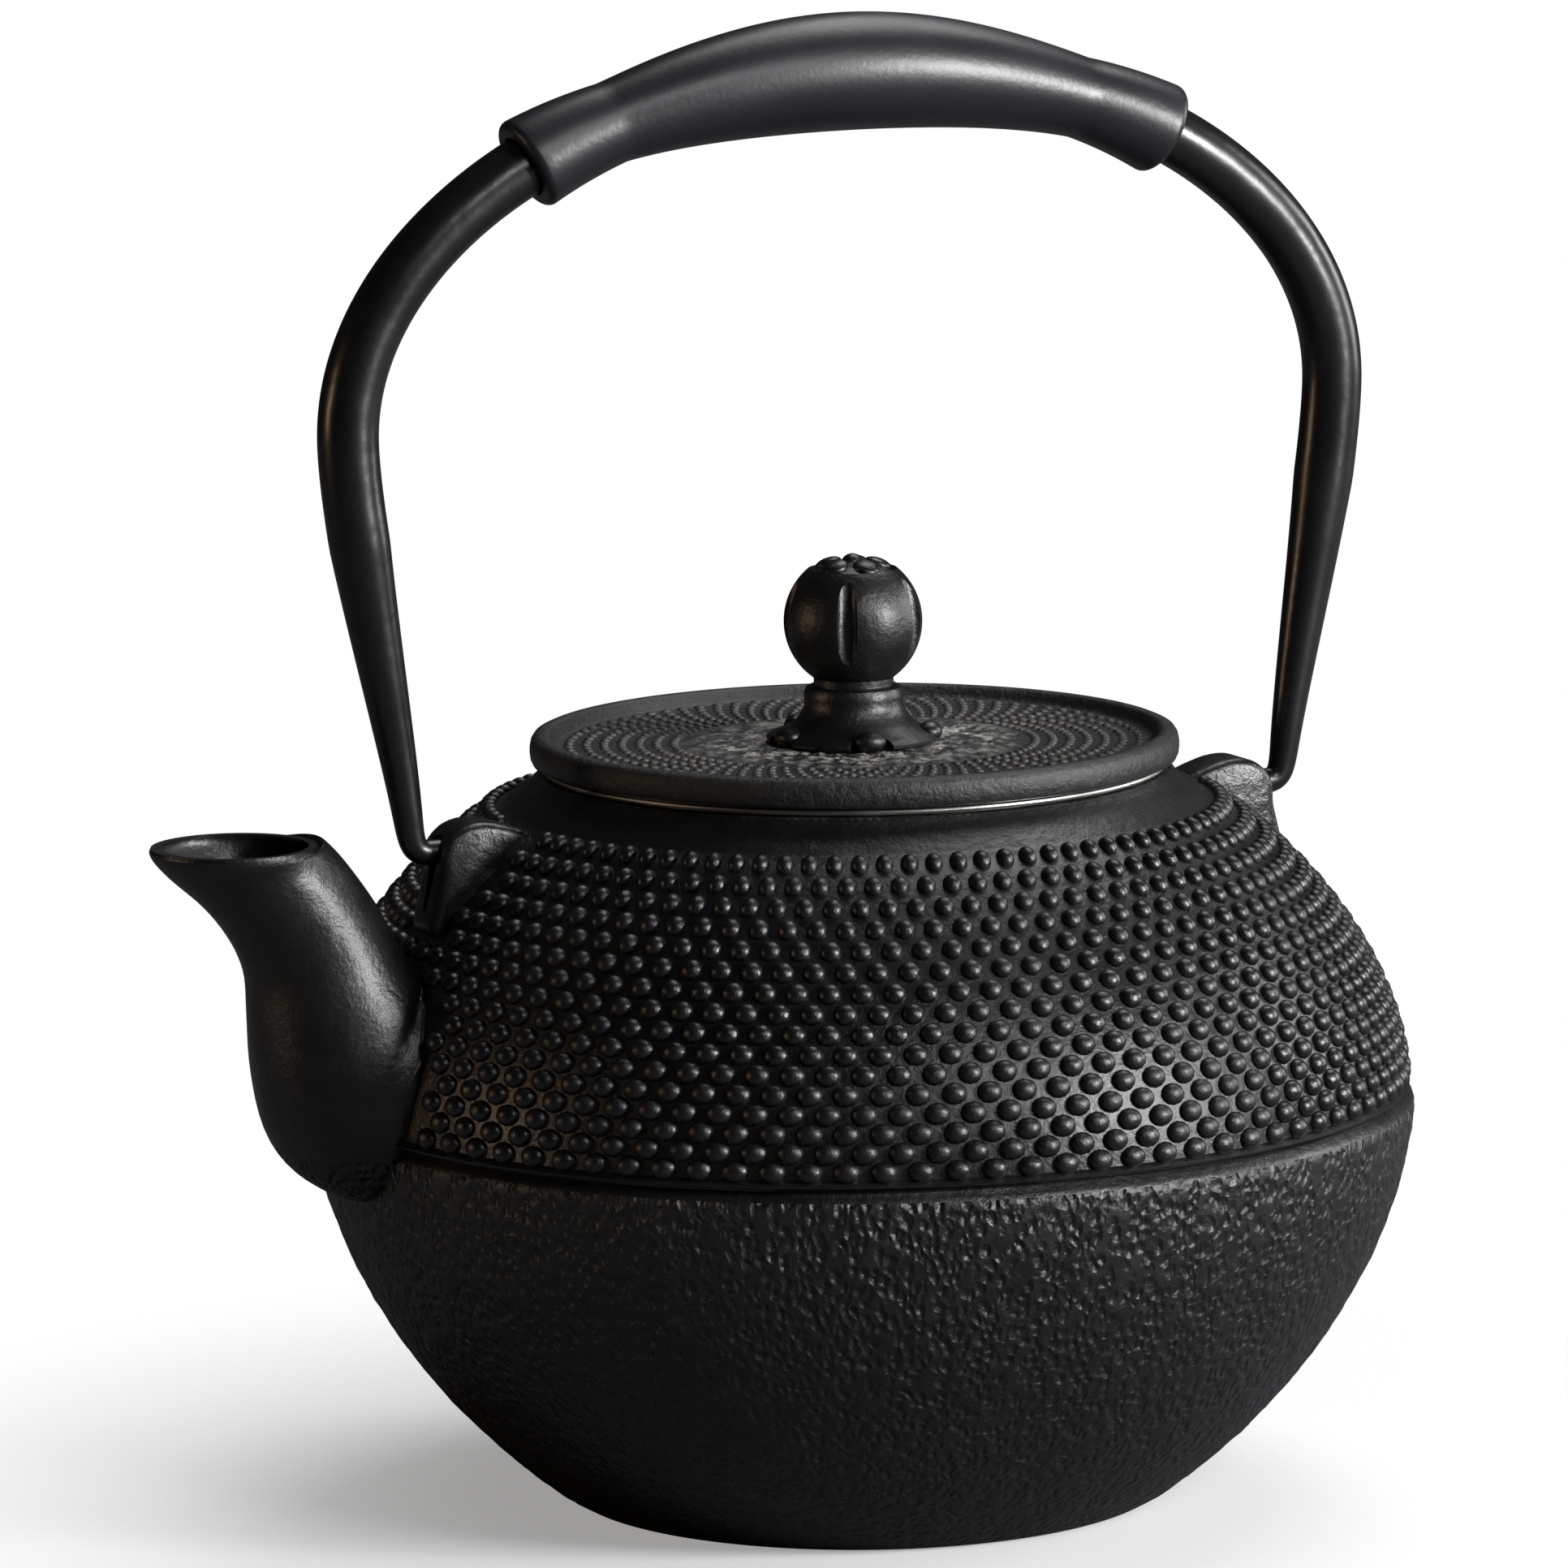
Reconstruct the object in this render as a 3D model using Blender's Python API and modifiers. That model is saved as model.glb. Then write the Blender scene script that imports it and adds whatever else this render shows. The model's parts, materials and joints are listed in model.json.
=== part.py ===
"""Cast iron teapot with a lift-out steel infuser, a riveted lid knob and a swinging bail.

Frame: +Z is up, the origin is the middle of the flat base, the spout points along -X
and the bail turns about a line along X through the two lugs. Sizes are in metres.
"""

import math

import bmesh
import bpy
from mathutils import Vector
from mathutils.geometry import interpolate_bezier

# Bowl: a squared ellipse above the seam, up to the neck, and another below it, down to the base
BELLY_RADIUS = 0.0825
SEAM_HEIGHT = 0.0613
BASE_RADIUS = 0.0445
SHOULDER_RISE = 0.0476
SHOULDER_OVERRUN = 0.0139
BOWL_SQUARENESS = 1.8
WALL = 0.0032
FLOOR = 0.0045

# Neck
NECK_TOP_RADIUS = 0.0474
NECK_LIP = 0.0028
NECK_SPREAD = 0.0046
NECK_RISE = 0.0046
NECK_STEP = 0.0005

# Spout
SPOUT_REACH = 0.0165
SPOUT_SET_IN = 0.0065
SPOUT_START_INSIDE = 0.0150
SPOUT_ROOT_RISE = 0.0092
SPOUT_ROOT_RADIUS = 0.0166
SPOUT_WALL = 0.0022
MOUTH_DROP = 0.0039
MOUTH_HALF_LENGTH = 0.0121
MOUTH_HALF_WIDTH = 0.0122
MOUTH_LIP = 0.0012

# Lugs and the hook holes in them
HINGE_DROP = 0.0073
LUG_PROUD = 0.0102
LUG_LENGTH = 0.0150
LUG_FOOT_DROP = 0.0110
LUG_FOOT_PROUD = 0.0010
LUG_SIDE_WALL = 0.0018
LUG_TOP_WALL = 0.0020
LUG_EDGE = 0.0019
HOOK_HOLE_CLEARANCE = 0.0006

# Infuser
FLANGE_INSET = 0.0009
FLANGE_THICKNESS = 0.0008
SHEET = 0.0006
COLLAR_DEPTH = 0.0082
COLLAR_CLEARANCE = 0.0007
SLEEVE_TOP_DROP = 0.0020
BASKET_DEPTH = 0.0520
BASKET_BAND = 0.0040

# Lid
LID_OVERHANG = 0.0009
LID_FIELD_RISE = 0.0026
LID_THICKNESS = 0.0036
LID_BEAD_RISE = 0.0018
LID_BEAD_WIDTH = 0.0032
LID_SKIRT_DEPTH = 0.0055
LID_SKIRT_WALL = 0.0024
LID_SKIRT_CLEARANCE = 0.0007
LID_FILLET = 0.0006
LID_EDGE_ROUND = 0.0012

# Knob, the flower seat under it and the rivet through both
KNOB_RADIUS = 0.0103
KNOB_HEIGHT = 0.0195
KNOB_FOOT_LEDGE = 0.0006
SEAT_HEIGHT = 0.0083
SEAT_NECK_RADIUS = 0.0070
SEAT_FOOT_RADIUS = 0.0123
STEM_RADIUS = 0.0025
STEM_CLEARANCE = 0.0003
RIVET_LEDGE = 0.0018
RIVET_HEAD_HEIGHT = 0.0016
WASHER_LEDGE = 0.0019
WASHER_THICKNESS = 0.0010

# Bail
BAIL_RISE = 0.1111
BAIL_SPREAD = 0.0119
BAIL_WIDEST_RISE = 0.0614
ROD_RADIUS = 0.0045
TAPER_RISE = 0.0460
CROWN_HALF_LENGTH = 0.0385
CROWN_DROP = 0.0059
LEG_CLEARANCE = 0.0017
LEG_FOOT_RISE = 0.0055
HOOK_RADIUS = 0.0019
HOOK_BEND_SET_IN = 0.0002
HOOK_LENGTH = 0.0062

# Grip: its wall over the rod in the middle, at the waist before the cuff, and at the cuff
GRIP_WALL = 0.0039
GRIP_WAIST_WALL = 0.0013
GRIP_CUFF_WALL = 0.0022
GRIP_CUFF_LENGTH = 0.0152
GRIP_END_ROUND = 0.0012

# Between pieces that touch
GAP = 0.0003
FIT_GAP = 0.0003

# Facets
ROUND_STEPS = 56
SMALL_STEPS = 24
KNOB_ARC_STEPS = 18
SPOUT_STEPS = 28
SPOUT_RINGS_PER_SPAN = 2
ARC_POINTS = 10
LEG_POINTS = 9
BEND_POINTS = 6
GRIP_SPANS = 8
ROD_ROUNDNESS = 3
GRIP_ROUNDNESS = 5
EDGE_ANGLE = math.radians(35)


def bowl_radius(depth, radius, closing_depth):
    """Radius of a squared ellipse at this distance above or below its widest level."""
    share = min(1.0, abs(depth) / closing_depth)
    return radius * (1.0 - share ** BOWL_SQUARENESS) ** (1.0 / BOWL_SQUARENESS)


def shoulder_radius(height):
    """Outside of the bowl at this height above the seam."""
    return bowl_radius(height - SEAM_HEIGHT, BELLY_RADIUS, SHOULDER_RISE + SHOULDER_OVERRUN)


# Places that follow from the sizes above: pot
neck_top = SEAM_HEIGHT + SHOULDER_RISE
neck_foot = neck_top - NECK_RISE
neck_foot_radius = NECK_TOP_RADIUS + NECK_SPREAD
neck_bore_radius = NECK_TOP_RADIUS - NECK_LIP
mouth_reach = BELLY_RADIUS + SPOUT_REACH
mouth_height = neck_top - MOUTH_DROP
spout_root_height = SEAM_HEIGHT + SPOUT_ROOT_RISE
hinge_height = neck_top - HINGE_DROP
lug_reach = shoulder_radius(hinge_height) + LUG_PROUD
hook_hole_radius = HOOK_RADIUS + HOOK_HOLE_CLEARANCE

# Infuser, lid and knob
flange_bottom = neck_top + GAP
flange_top = flange_bottom + FLANGE_THICKNESS
collar_radius = neck_bore_radius - COLLAR_CLEARANCE
collar_bottom = flange_bottom - COLLAR_DEPTH
sleeve_radius = collar_radius - SHEET - FIT_GAP
basket_bottom = flange_bottom - BASKET_DEPTH
lid_radius = NECK_TOP_RADIUS + LID_OVERHANG
lid_bottom = flange_top + GAP
lid_field = lid_bottom + LID_FIELD_RISE
lid_top = lid_field + LID_BEAD_RISE
lid_under = lid_field - LID_THICKNESS
stem_bore = STEM_RADIUS + STEM_CLEARANCE
seat_bottom = lid_field + GAP
seat_top = seat_bottom + SEAT_HEIGHT
knob_bottom = seat_top + GAP
washer_top = lid_under - GAP
washer_bottom = washer_top - WASHER_THICKNESS
rivet_head_radius = STEM_RADIUS + RIVET_LEDGE

# Bail and grip
hook_bend_reach = lug_reach - HOOK_BEND_SET_IN
hook_tip_reach = hook_bend_reach - HOOK_LENGTH
leg_foot_reach = lug_reach + HOOK_RADIUS + LEG_CLEARANCE
bail_half_width = lug_reach + BAIL_SPREAD
grip_bore_radius = ROD_RADIUS + FIT_GAP


def clear_scene():
    for obj in list(bpy.data.objects):
        bpy.data.objects.remove(obj, do_unlink=True)


def new_collection(name):
    collection = bpy.data.collections.new(name)
    bpy.context.scene.collection.children.link(collection)
    return collection


def make_material(name, colour, roughness, metallic):
    material = bpy.data.materials.new(name)
    material.use_nodes = True
    shader = material.node_tree.nodes["Principled BSDF"]
    shader.inputs["Base Color"].default_value = (*colour, 1.0)
    shader.inputs["Roughness"].default_value = roughness
    shader.inputs["Metallic"].default_value = metallic
    return material


def shade_round(mesh):
    mesh.shade_smooth()
    mesh.set_sharp_from_angle(angle=EDGE_ANGLE)


def add_object(name, mesh, collection, material=None):
    obj = bpy.data.objects.new(name, mesh)
    collection.objects.link(obj)
    if material:
        mesh.materials.append(material)
    return obj


def add_cutter(name, mesh):
    obj = add_object(name, mesh, cutters)
    obj.hide_render = True
    obj.display_type = "WIRE"
    return obj


def profile_mesh(name, outline, closed):
    """The outline is (radius, height) points that run down the outer side."""
    mesh = bpy.data.meshes.new(name)
    edges = [(i, i + 1) for i in range(len(outline) - 1)]
    if closed:
        edges.append((len(outline) - 1, 0))
    mesh.from_pydata([(radius, 0.0, height) for radius, height in outline], edges, [])
    return mesh


def turn(obj, steps):
    screw = obj.modifiers.new("Turn", "SCREW")
    screw.axis = "Z"
    screw.angle = math.tau
    screw.steps = steps
    screw.render_steps = steps
    screw.use_merge_vertices = True
    screw.merge_threshold = 0.00001
    screw.use_smooth_shade = True
    return obj


def turned_part(name, outline, material, closed=False, steps=ROUND_STEPS):
    return turn(add_object(name, profile_mesh(name, outline, closed), parts, material), steps)


def boolean(obj, other, operation):
    modifier = obj.modifiers.new(other.name, "BOOLEAN")
    modifier.operation = operation
    modifier.object = other


def arc(centre, radius, start, end, count):
    """Points on a circle, angles in degrees from the first axis."""
    points = []
    for i in range(count + 1):
        angle = math.radians(start + (end - start) * i / count)
        points.append((centre[0] + radius * math.cos(angle), centre[1] + radius * math.sin(angle)))
    return points


def keel_depth():
    """Depth at which the lower bowl would close, were it not cut off at the flat base."""
    share = (1.0 - (BASE_RADIUS / BELLY_RADIUS) ** BOWL_SQUARENESS) ** (1.0 / BOWL_SQUARENESS)
    return SEAM_HEIGHT / share


def shoulder_points(inset, top, count):
    """Bowl points from this height down to the seam, this far inside the outer surface."""
    closing_depth = SHOULDER_RISE + SHOULDER_OVERRUN - inset
    points = []
    for i in range(count + 1):
        angle = math.pi / 2 * i / count
        rise = (top - SEAM_HEIGHT) * math.cos(angle)
        points.append((bowl_radius(rise, BELLY_RADIUS - inset, closing_depth), SEAM_HEIGHT + rise))
    return points


def hull_points(inset, bottom, count):
    """Bowl points from just under the seam down to this height, this far inside the outer surface."""
    points = []
    for i in range(1, count + 1):
        angle = math.pi / 2 * i / count
        drop = (SEAM_HEIGHT - bottom) * math.sin(angle)
        points.append((bowl_radius(drop, BELLY_RADIUS - inset, keel_depth() - inset), SEAM_HEIGHT - drop))
    return points


def bowl_outline():
    outline = [(0.0, neck_top), (NECK_TOP_RADIUS, neck_top), (neck_foot_radius, neck_foot)]
    for radius, height in shoulder_points(0.0, neck_foot - NECK_STEP, ARC_POINTS):
        outline.append((max(radius, neck_foot_radius), height))
    outline += hull_points(0.0, 0.0, ARC_POINTS)
    outline.append((0.0, 0.0))
    return outline


def cavity_outline():
    above = neck_top + WALL
    neck_under = neck_foot - WALL
    outline = [(0.0, above), (neck_bore_radius, above), (neck_bore_radius, neck_under)]
    for radius, height in shoulder_points(WALL, neck_under - WALL / 2, ARC_POINTS):
        outline.append((max(radius, neck_bore_radius), height))
    outline += hull_points(WALL, FLOOR, ARC_POINTS)
    outline.append((0.0, FLOOR))
    return outline


def spout_sections():
    """(x, z, tilt, half height, half width) from the root to the mouth.

    The tilt turns the flow from straight out of the bowl, 0, to straight up, 90.
    """
    root = SPOUT_ROOT_RADIUS
    root_x = SPOUT_SET_IN - BELLY_RADIUS
    root_z = spout_root_height
    rise = mouth_height - root_z
    reach = mouth_reach + root_x
    return [
        (root_x + SPOUT_START_INSIDE, root_z - 0.07 * rise, 0, 1.04 * root, 1.00 * root),
        (root_x, root_z - 0.07 * rise, 10, 1.06 * root, 1.00 * root),
        (root_x - 0.18 * reach, root_z - 0.03 * rise, 24, 1.05 * root, 0.99 * root),
        (root_x - 0.30 * reach, root_z + 0.05 * rise, 40, 0.98 * root, 0.95 * root),
        (root_x - 0.35 * reach, root_z + 0.21 * rise, 57, 0.87 * root, 0.89 * root),
        (root_x - 0.42 * reach, root_z + 0.39 * rise, 67, 0.73 * root, 0.79 * root),
        (root_x - 0.51 * reach, root_z + 0.58 * rise, 63, 0.65 * root, 0.71 * root),
        (root_x - 0.67 * reach, root_z + 0.76 * rise, 58, 0.61 * root, 0.67 * root),
        (root_x - 0.84 * reach, root_z + 0.89 * rise, 66, 0.62 * root, 0.67 * root),
        (-mouth_reach, mouth_height - MOUTH_LIP, 87, MOUTH_HALF_LENGTH, MOUTH_HALF_WIDTH),
        (-mouth_reach - MOUTH_LIP / 4, mouth_height, 90, MOUTH_HALF_LENGTH, MOUTH_HALF_WIDTH),
    ]


def between(before, start, end, after, t):
    """The section at share t from start to end on a Catmull-Rom curve."""
    section = []
    for a, b, c, d in zip(before, start, end, after):
        bent = (2 * a - 5 * b + 4 * c - d) * t ** 2 + (3 * b - a - 3 * c + d) * t ** 3
        section.append(b + ((c - a) * t + bent) / 2)
    return tuple(section)


def smoothed(sections, count):
    """Sections on a Catmull-Rom curve through the given ones, this many to a span."""
    smooth = []
    for i in range(len(sections) - 1):
        before = sections[max(i - 1, 0)]
        start = sections[i]
        end = sections[i + 1]
        after = sections[min(i + 2, len(sections) - 1)]
        for step in range(count):
            smooth.append(between(before, start, end, after, step / count))
    smooth.append(sections[-1])
    return smooth


def section_ring(section, wall):
    x, z, tilt, half_height, half_width = section
    flow = math.radians(tilt)
    across = Vector((math.sin(flow), 0.0, math.cos(flow)))
    ring = []
    for i in range(SPOUT_STEPS):
        angle = math.tau * i / SPOUT_STEPS
        up = (half_height - wall) * math.cos(angle)
        side = (half_width - wall) * math.sin(angle)
        ring.append(Vector((x, 0.0, z)) + across * up + Vector((0.0, side, 0.0)))
    return ring


def spout_loft(name, wall, overrun):
    """Closed loft through the spout's sections; a wall inside it and overrun past both ends make the bore."""
    sections = smoothed(spout_sections(), SPOUT_RINGS_PER_SPAN)
    rings = [section_ring(section, wall) for section in sections]
    if overrun:
        inward = Vector((SPOUT_START_INSIDE, 0.0, 0.0))
        rings.insert(0, [point + inward for point in rings[0]])
        rings.append([point + Vector((0.0, 0.0, overrun)) for point in rings[-1]])
    shape = bmesh.new()
    loops = [[shape.verts.new(point) for point in ring] for ring in rings]
    for low, high in zip(loops, loops[1:]):
        for i in range(SPOUT_STEPS):
            j = (i + 1) % SPOUT_STEPS
            shape.faces.new((low[i], low[j], high[j], high[i]))
    shape.faces.new(loops[0])
    shape.faces.new(list(reversed(loops[-1])))
    bmesh.ops.recalc_face_normals(shape, faces=shape.faces[:])
    mesh = bpy.data.meshes.new(name)
    shape.to_mesh(mesh)
    shape.free()
    return mesh


def curve_mesh(curve_object, name):
    """The evaluated curve as a closed mesh, with its caps welded on."""
    bpy.context.view_layer.update()
    graph = bpy.context.evaluated_depsgraph_get()
    mesh = bpy.data.meshes.new_from_object(curve_object.evaluated_get(graph))
    mesh.name = name
    shape = bmesh.new()
    shape.from_mesh(mesh)
    bmesh.ops.transform(shape, matrix=curve_object.matrix_world, verts=shape.verts[:])
    bmesh.ops.remove_doubles(shape, verts=shape.verts[:], dist=0.000002)
    bmesh.ops.recalc_face_normals(shape, faces=shape.faces[:])
    shape.to_mesh(mesh)
    shape.free()
    mesh.materials.clear()
    curve = curve_object.data
    bpy.data.objects.remove(curve_object, do_unlink=True)
    bpy.data.curves.remove(curve)
    return mesh


def swept_mesh(name, points, radii, resolution=2):
    """A round bar along these points, with a radius at each."""
    curve = bpy.data.curves.new(name, "CURVE")
    curve.dimensions = "3D"
    curve.bevel_depth = 1.0
    curve.bevel_resolution = resolution
    curve.use_fill_caps = True
    spline = curve.splines.new("POLY")
    spline.points.add(len(points) - 1)
    for point, place, radius in zip(spline.points, points, radii):
        point.co = (*place, 1.0)
        point.radius = radius
    curve_object = bpy.data.objects.new(name, curve)
    cutters.objects.link(curve_object)
    return curve_mesh(curve_object, name)


def plate_mesh(name, outline, thickness, side):
    """A flat outline in X and Z, thickened along Y and mirrored to the -X side when side is -1."""
    curve = bpy.data.curves.new(name, "CURVE")
    curve.dimensions = "2D"
    curve.fill_mode = "BOTH"
    curve.extrude = thickness / 2
    spline = curve.splines.new("POLY")
    spline.points.add(len(outline) - 1)
    for point, (x, z) in zip(spline.points, outline):
        point.co = (side * x, z, 0.0, 1.0)
    spline.use_cyclic_u = True
    curve_object = bpy.data.objects.new(name, curve)
    curve_object.rotation_euler = (math.pi / 2, 0.0, 0.0)
    cutters.objects.link(curve_object)
    return curve_mesh(curve_object, name)


def lug_outline():
    """Fin that stands on the shoulder: a steep outer face, a round top and a ridge that runs inwards."""
    top = hinge_height + hook_hole_radius + LUG_TOP_WALL
    inner = lug_reach - LUG_LENGTH
    foot = hinge_height - LUG_FOOT_DROP
    foot_reach = shoulder_radius(foot) + LUG_FOOT_PROUD
    return [
        (inner - 0.0010, foot),
        (foot_reach - 0.0062, foot - 0.0040),
        (foot_reach, foot),
        (lug_reach, hinge_height - 0.0010),
        (lug_reach - 0.0014, hinge_height + 0.0020),
        (lug_reach - 0.0030, top - 0.0008),
        (lug_reach - 0.0056, top),
        (lug_reach - 0.0096, top - 0.0006),
        (inner, top - 0.0018),
    ]


def hook_hole(name, side):
    """Blind hole along X for a hook, cut from the lug's outer face."""
    start = Vector((side * (hook_tip_reach - 2 * FIT_GAP), 0.0, hinge_height))
    end = Vector((side * (lug_reach + LUG_LENGTH), 0.0, hinge_height))
    return add_cutter(name, swept_mesh(name, [start, end], [hook_hole_radius, hook_hole_radius]))


def make_lug(name, side):
    width = 2 * (hook_hole_radius + LUG_SIDE_WALL)
    lug = add_cutter(name, plate_mesh(name, lug_outline(), width, side))
    bevel = lug.modifiers.new("Soft edges", "BEVEL")
    bevel.width = LUG_EDGE
    bevel.segments = 2
    bevel.limit_method = "ANGLE"
    bevel.angle_limit = math.radians(50)
    return lug


def make_pot_body():
    body = turned_part("pot_body", bowl_outline(), cast_iron)
    boolean(body, add_cutter("spout_outside", spout_loft("spout_outside", 0.0, 0.0)), "UNION")
    boolean(body, make_lug("lug_spout_side", -1), "UNION")
    boolean(body, make_lug("lug_back_side", 1), "UNION")
    cavity = add_cutter("cavity", profile_mesh("cavity", cavity_outline(), False))
    boolean(body, turn(cavity, ROUND_STEPS), "DIFFERENCE")
    boolean(body, add_cutter("spout_bore", spout_loft("spout_bore", SPOUT_WALL, SPOUT_WALL)), "DIFFERENCE")
    boolean(body, hook_hole("hook_hole_spout_side", -1), "DIFFERENCE")
    boolean(body, hook_hole("hook_hole_back_side", 1), "DIFFERENCE")
    return body


def make_infuser_rim():
    """Flat flange that rests on the neck, with the collar that drops into it."""
    flange_radius = NECK_TOP_RADIUS - FLANGE_INSET
    outline = [
        (collar_radius - SHEET, flange_top),
        (flange_radius, flange_top),
        (flange_radius, flange_bottom),
        (collar_radius, flange_bottom),
        (collar_radius, collar_bottom),
        (collar_radius - SHEET, collar_bottom),
    ]
    return turned_part("infuser_rim", outline, stainless, closed=True)


def make_infuser_sleeve():
    """Plain sheet tube up inside the collar, in place of the real one's fine perforations."""
    top = flange_bottom - SLEEVE_TOP_DROP
    bottom = basket_bottom + SHEET + FIT_GAP
    outline = [
        (sleeve_radius - SHEET, top),
        (sleeve_radius, top),
        (sleeve_radius, bottom),
        (sleeve_radius - SHEET, bottom),
    ]
    return turned_part("infuser_sleeve", outline, stainless, closed=True)


def make_infuser_base():
    """Shallow cup that closes the sleeve from outside."""
    outline = [
        (0.0, basket_bottom + SHEET),
        (collar_radius - SHEET, basket_bottom + SHEET),
        (collar_radius - SHEET, basket_bottom + BASKET_BAND),
        (collar_radius, basket_bottom + BASKET_BAND),
        (collar_radius, basket_bottom),
        (0.0, basket_bottom),
    ]
    return turned_part("infuser_base", outline, stainless)


def make_lid():
    """Disc with a raised bead round its edge and a skirt that drops inside the infuser."""
    bead_middle = lid_radius - LID_BEAD_WIDTH / 2
    skirt = sleeve_radius - SHEET - LID_SKIRT_CLEARANCE
    skirt_inside = skirt - LID_SKIRT_WALL
    skirt_bottom = lid_bottom - LID_SKIRT_DEPTH
    outline = [(stem_bore, lid_field), (lid_radius - LID_BEAD_WIDTH - LID_FILLET, lid_field)]
    outline += arc((bead_middle, lid_top - LID_BEAD_WIDTH / 2), LID_BEAD_WIDTH / 2, 135, 0, 5)
    outline += [
        (lid_radius, lid_bottom + LID_EDGE_ROUND),
        (lid_radius - LID_EDGE_ROUND, lid_bottom),
        (skirt + LID_FILLET, lid_bottom),
        (skirt, lid_bottom - LID_FILLET),
        (skirt, skirt_bottom),
        (skirt_inside, skirt_bottom),
        (skirt_inside - LID_FILLET, lid_under),
        (stem_bore, lid_under),
    ]
    return turned_part("lid", outline, cast_iron, closed=True)


def make_knob_seat():
    """Collar that flares into a flower at the lid."""
    outline = [
        (stem_bore, seat_top),
        (SEAT_NECK_RADIUS - 0.0004, seat_top),
        (SEAT_NECK_RADIUS, seat_top - 0.0008),
        (SEAT_NECK_RADIUS - 0.0004, seat_bottom + 0.54 * SEAT_HEIGHT),
        (SEAT_NECK_RADIUS + 0.0012, seat_bottom + 0.36 * SEAT_HEIGHT),
        (SEAT_FOOT_RADIUS - 0.0010, seat_bottom + 0.0012),
        (SEAT_FOOT_RADIUS, seat_bottom + 0.0004),
        (SEAT_FOOT_RADIUS - 0.0004, seat_bottom),
        (stem_bore, seat_bottom),
    ]
    return turned_part("knob_seat", outline, cast_iron, closed=True, steps=SMALL_STEPS)


def make_lid_knob():
    """Ball, stem and the head that is hammered over under the washer, in one piece."""
    middle = knob_bottom + KNOB_HEIGHT / 2
    head_top = washer_bottom - GAP
    outline = [(0.0, knob_bottom + KNOB_HEIGHT)]
    for i in range(2, KNOB_ARC_STEPS - 1):
        angle = math.pi * i / KNOB_ARC_STEPS
        outline.append((KNOB_RADIUS * math.sin(angle), middle + KNOB_HEIGHT / 2 * math.cos(angle)))
    outline += [
        (STEM_RADIUS + KNOB_FOOT_LEDGE, knob_bottom),
        (STEM_RADIUS, knob_bottom),
        (STEM_RADIUS, head_top),
        (rivet_head_radius, head_top),
        (rivet_head_radius * 0.8, head_top - RIVET_HEAD_HEIGHT * 0.7),
        (0.0, head_top - RIVET_HEAD_HEIGHT),
    ]
    return turned_part("lid_knob", outline, cast_iron, steps=SMALL_STEPS)


def make_knob_washer():
    washer_radius = rivet_head_radius + WASHER_LEDGE
    outline = [
        (stem_bore, washer_top),
        (washer_radius, washer_top),
        (washer_radius, washer_bottom),
        (stem_bore, washer_bottom),
    ]
    return turned_part("knob_washer", outline, stainless, closed=True, steps=SMALL_STEPS)


def bezier(start, start_handle, end_handle, end, count):
    corners = [Vector((x, 0.0, z)) for x, z in (start, start_handle, end_handle, end)]
    return interpolate_bezier(*corners, count + 1)


def half_bail():
    """Centre line from the crown's middle to the hook's tip, on the +X side."""
    top = hinge_height + BAIL_RISE
    crown_end = (CROWN_HALF_LENGTH, top - CROWN_DROP)
    slope = math.atan2(2 * CROWN_DROP, CROWN_HALF_LENGTH)
    widest = (bail_half_width, hinge_height + BAIL_WIDEST_RISE)
    foot = (leg_foot_reach, hinge_height + LEG_FOOT_RISE)
    lean = math.atan2(bail_half_width - leg_foot_reach, BAIL_WIDEST_RISE)
    third = CROWN_HALF_LENGTH / 3
    reach = 0.024
    crown_handle = (crown_end[0] - third * math.cos(slope), crown_end[1] + third * math.sin(slope))
    shoulder_handle = (crown_end[0] + reach * math.cos(slope), crown_end[1] - reach * math.sin(slope))
    leg_handle = (foot[0] + 0.015 * math.sin(lean), foot[1] + 0.015 * math.cos(lean))
    bend_handle = (foot[0] - 0.0042 * math.sin(lean), foot[1] - 0.0042 * math.cos(lean))
    bend_end = (hook_bend_reach, hinge_height)
    crown = bezier((0.0, top), (third, top), crown_handle, crown_end, ARC_POINTS)
    shoulder = bezier(crown_end, shoulder_handle, (widest[0], widest[1] + 0.020), widest, 2 * ARC_POINTS)
    leg = bezier(widest, (widest[0], widest[1] - 0.012), leg_handle, foot, LEG_POINTS)
    bend = bezier(foot, bend_handle, (bend_end[0] + 0.0030, hinge_height), bend_end, BEND_POINTS)
    tip = Vector((hook_tip_reach, 0.0, hinge_height))
    return crown[:-1] + shoulder[:-1] + leg[:-1] + bend + [tip]


def mirrored(half):
    """Both sides of a path whose first point is on the middle."""
    return [Vector((-p.x, p.y, p.z)) for p in reversed(half[1:])] + list(half)


def rod_radius_at(point):
    """Full thickness down to where the swage starts, then a straight taper to the hook."""
    share = (point.z - hinge_height) / TAPER_RISE
    return HOOK_RADIUS + (ROD_RADIUS - HOOK_RADIUS) * min(1.0, max(0.0, share))


def make_bail():
    path = mirrored(half_bail())
    radii = [rod_radius_at(point) for point in path]
    bail = add_object("bail", swept_mesh("bail", path, radii, ROD_ROUNDNESS), parts, painted_steel)
    move_origin(bail, (0.0, 0.0, hinge_height))
    return bail


def move_origin(obj, place):
    """Puts the object's origin here and leaves its shape where it is."""
    shape = bmesh.new()
    shape.from_mesh(obj.data)
    bmesh.ops.translate(shape, vec=-Vector(place), verts=shape.verts[:])
    shape.to_mesh(obj.data)
    shape.free()
    obj.location = place


def lengths_along(path):
    total = [0.0]
    for before, after in zip(path, path[1:]):
        total.append(total[-1] + (after - before).length)
    return total


def point_at(path, lengths, distance):
    for i in range(1, len(path)):
        if lengths[i] >= distance:
            share = (distance - lengths[i - 1]) / (lengths[i] - lengths[i - 1])
            return path[i - 1].lerp(path[i], share)
    return path[-1]


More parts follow.
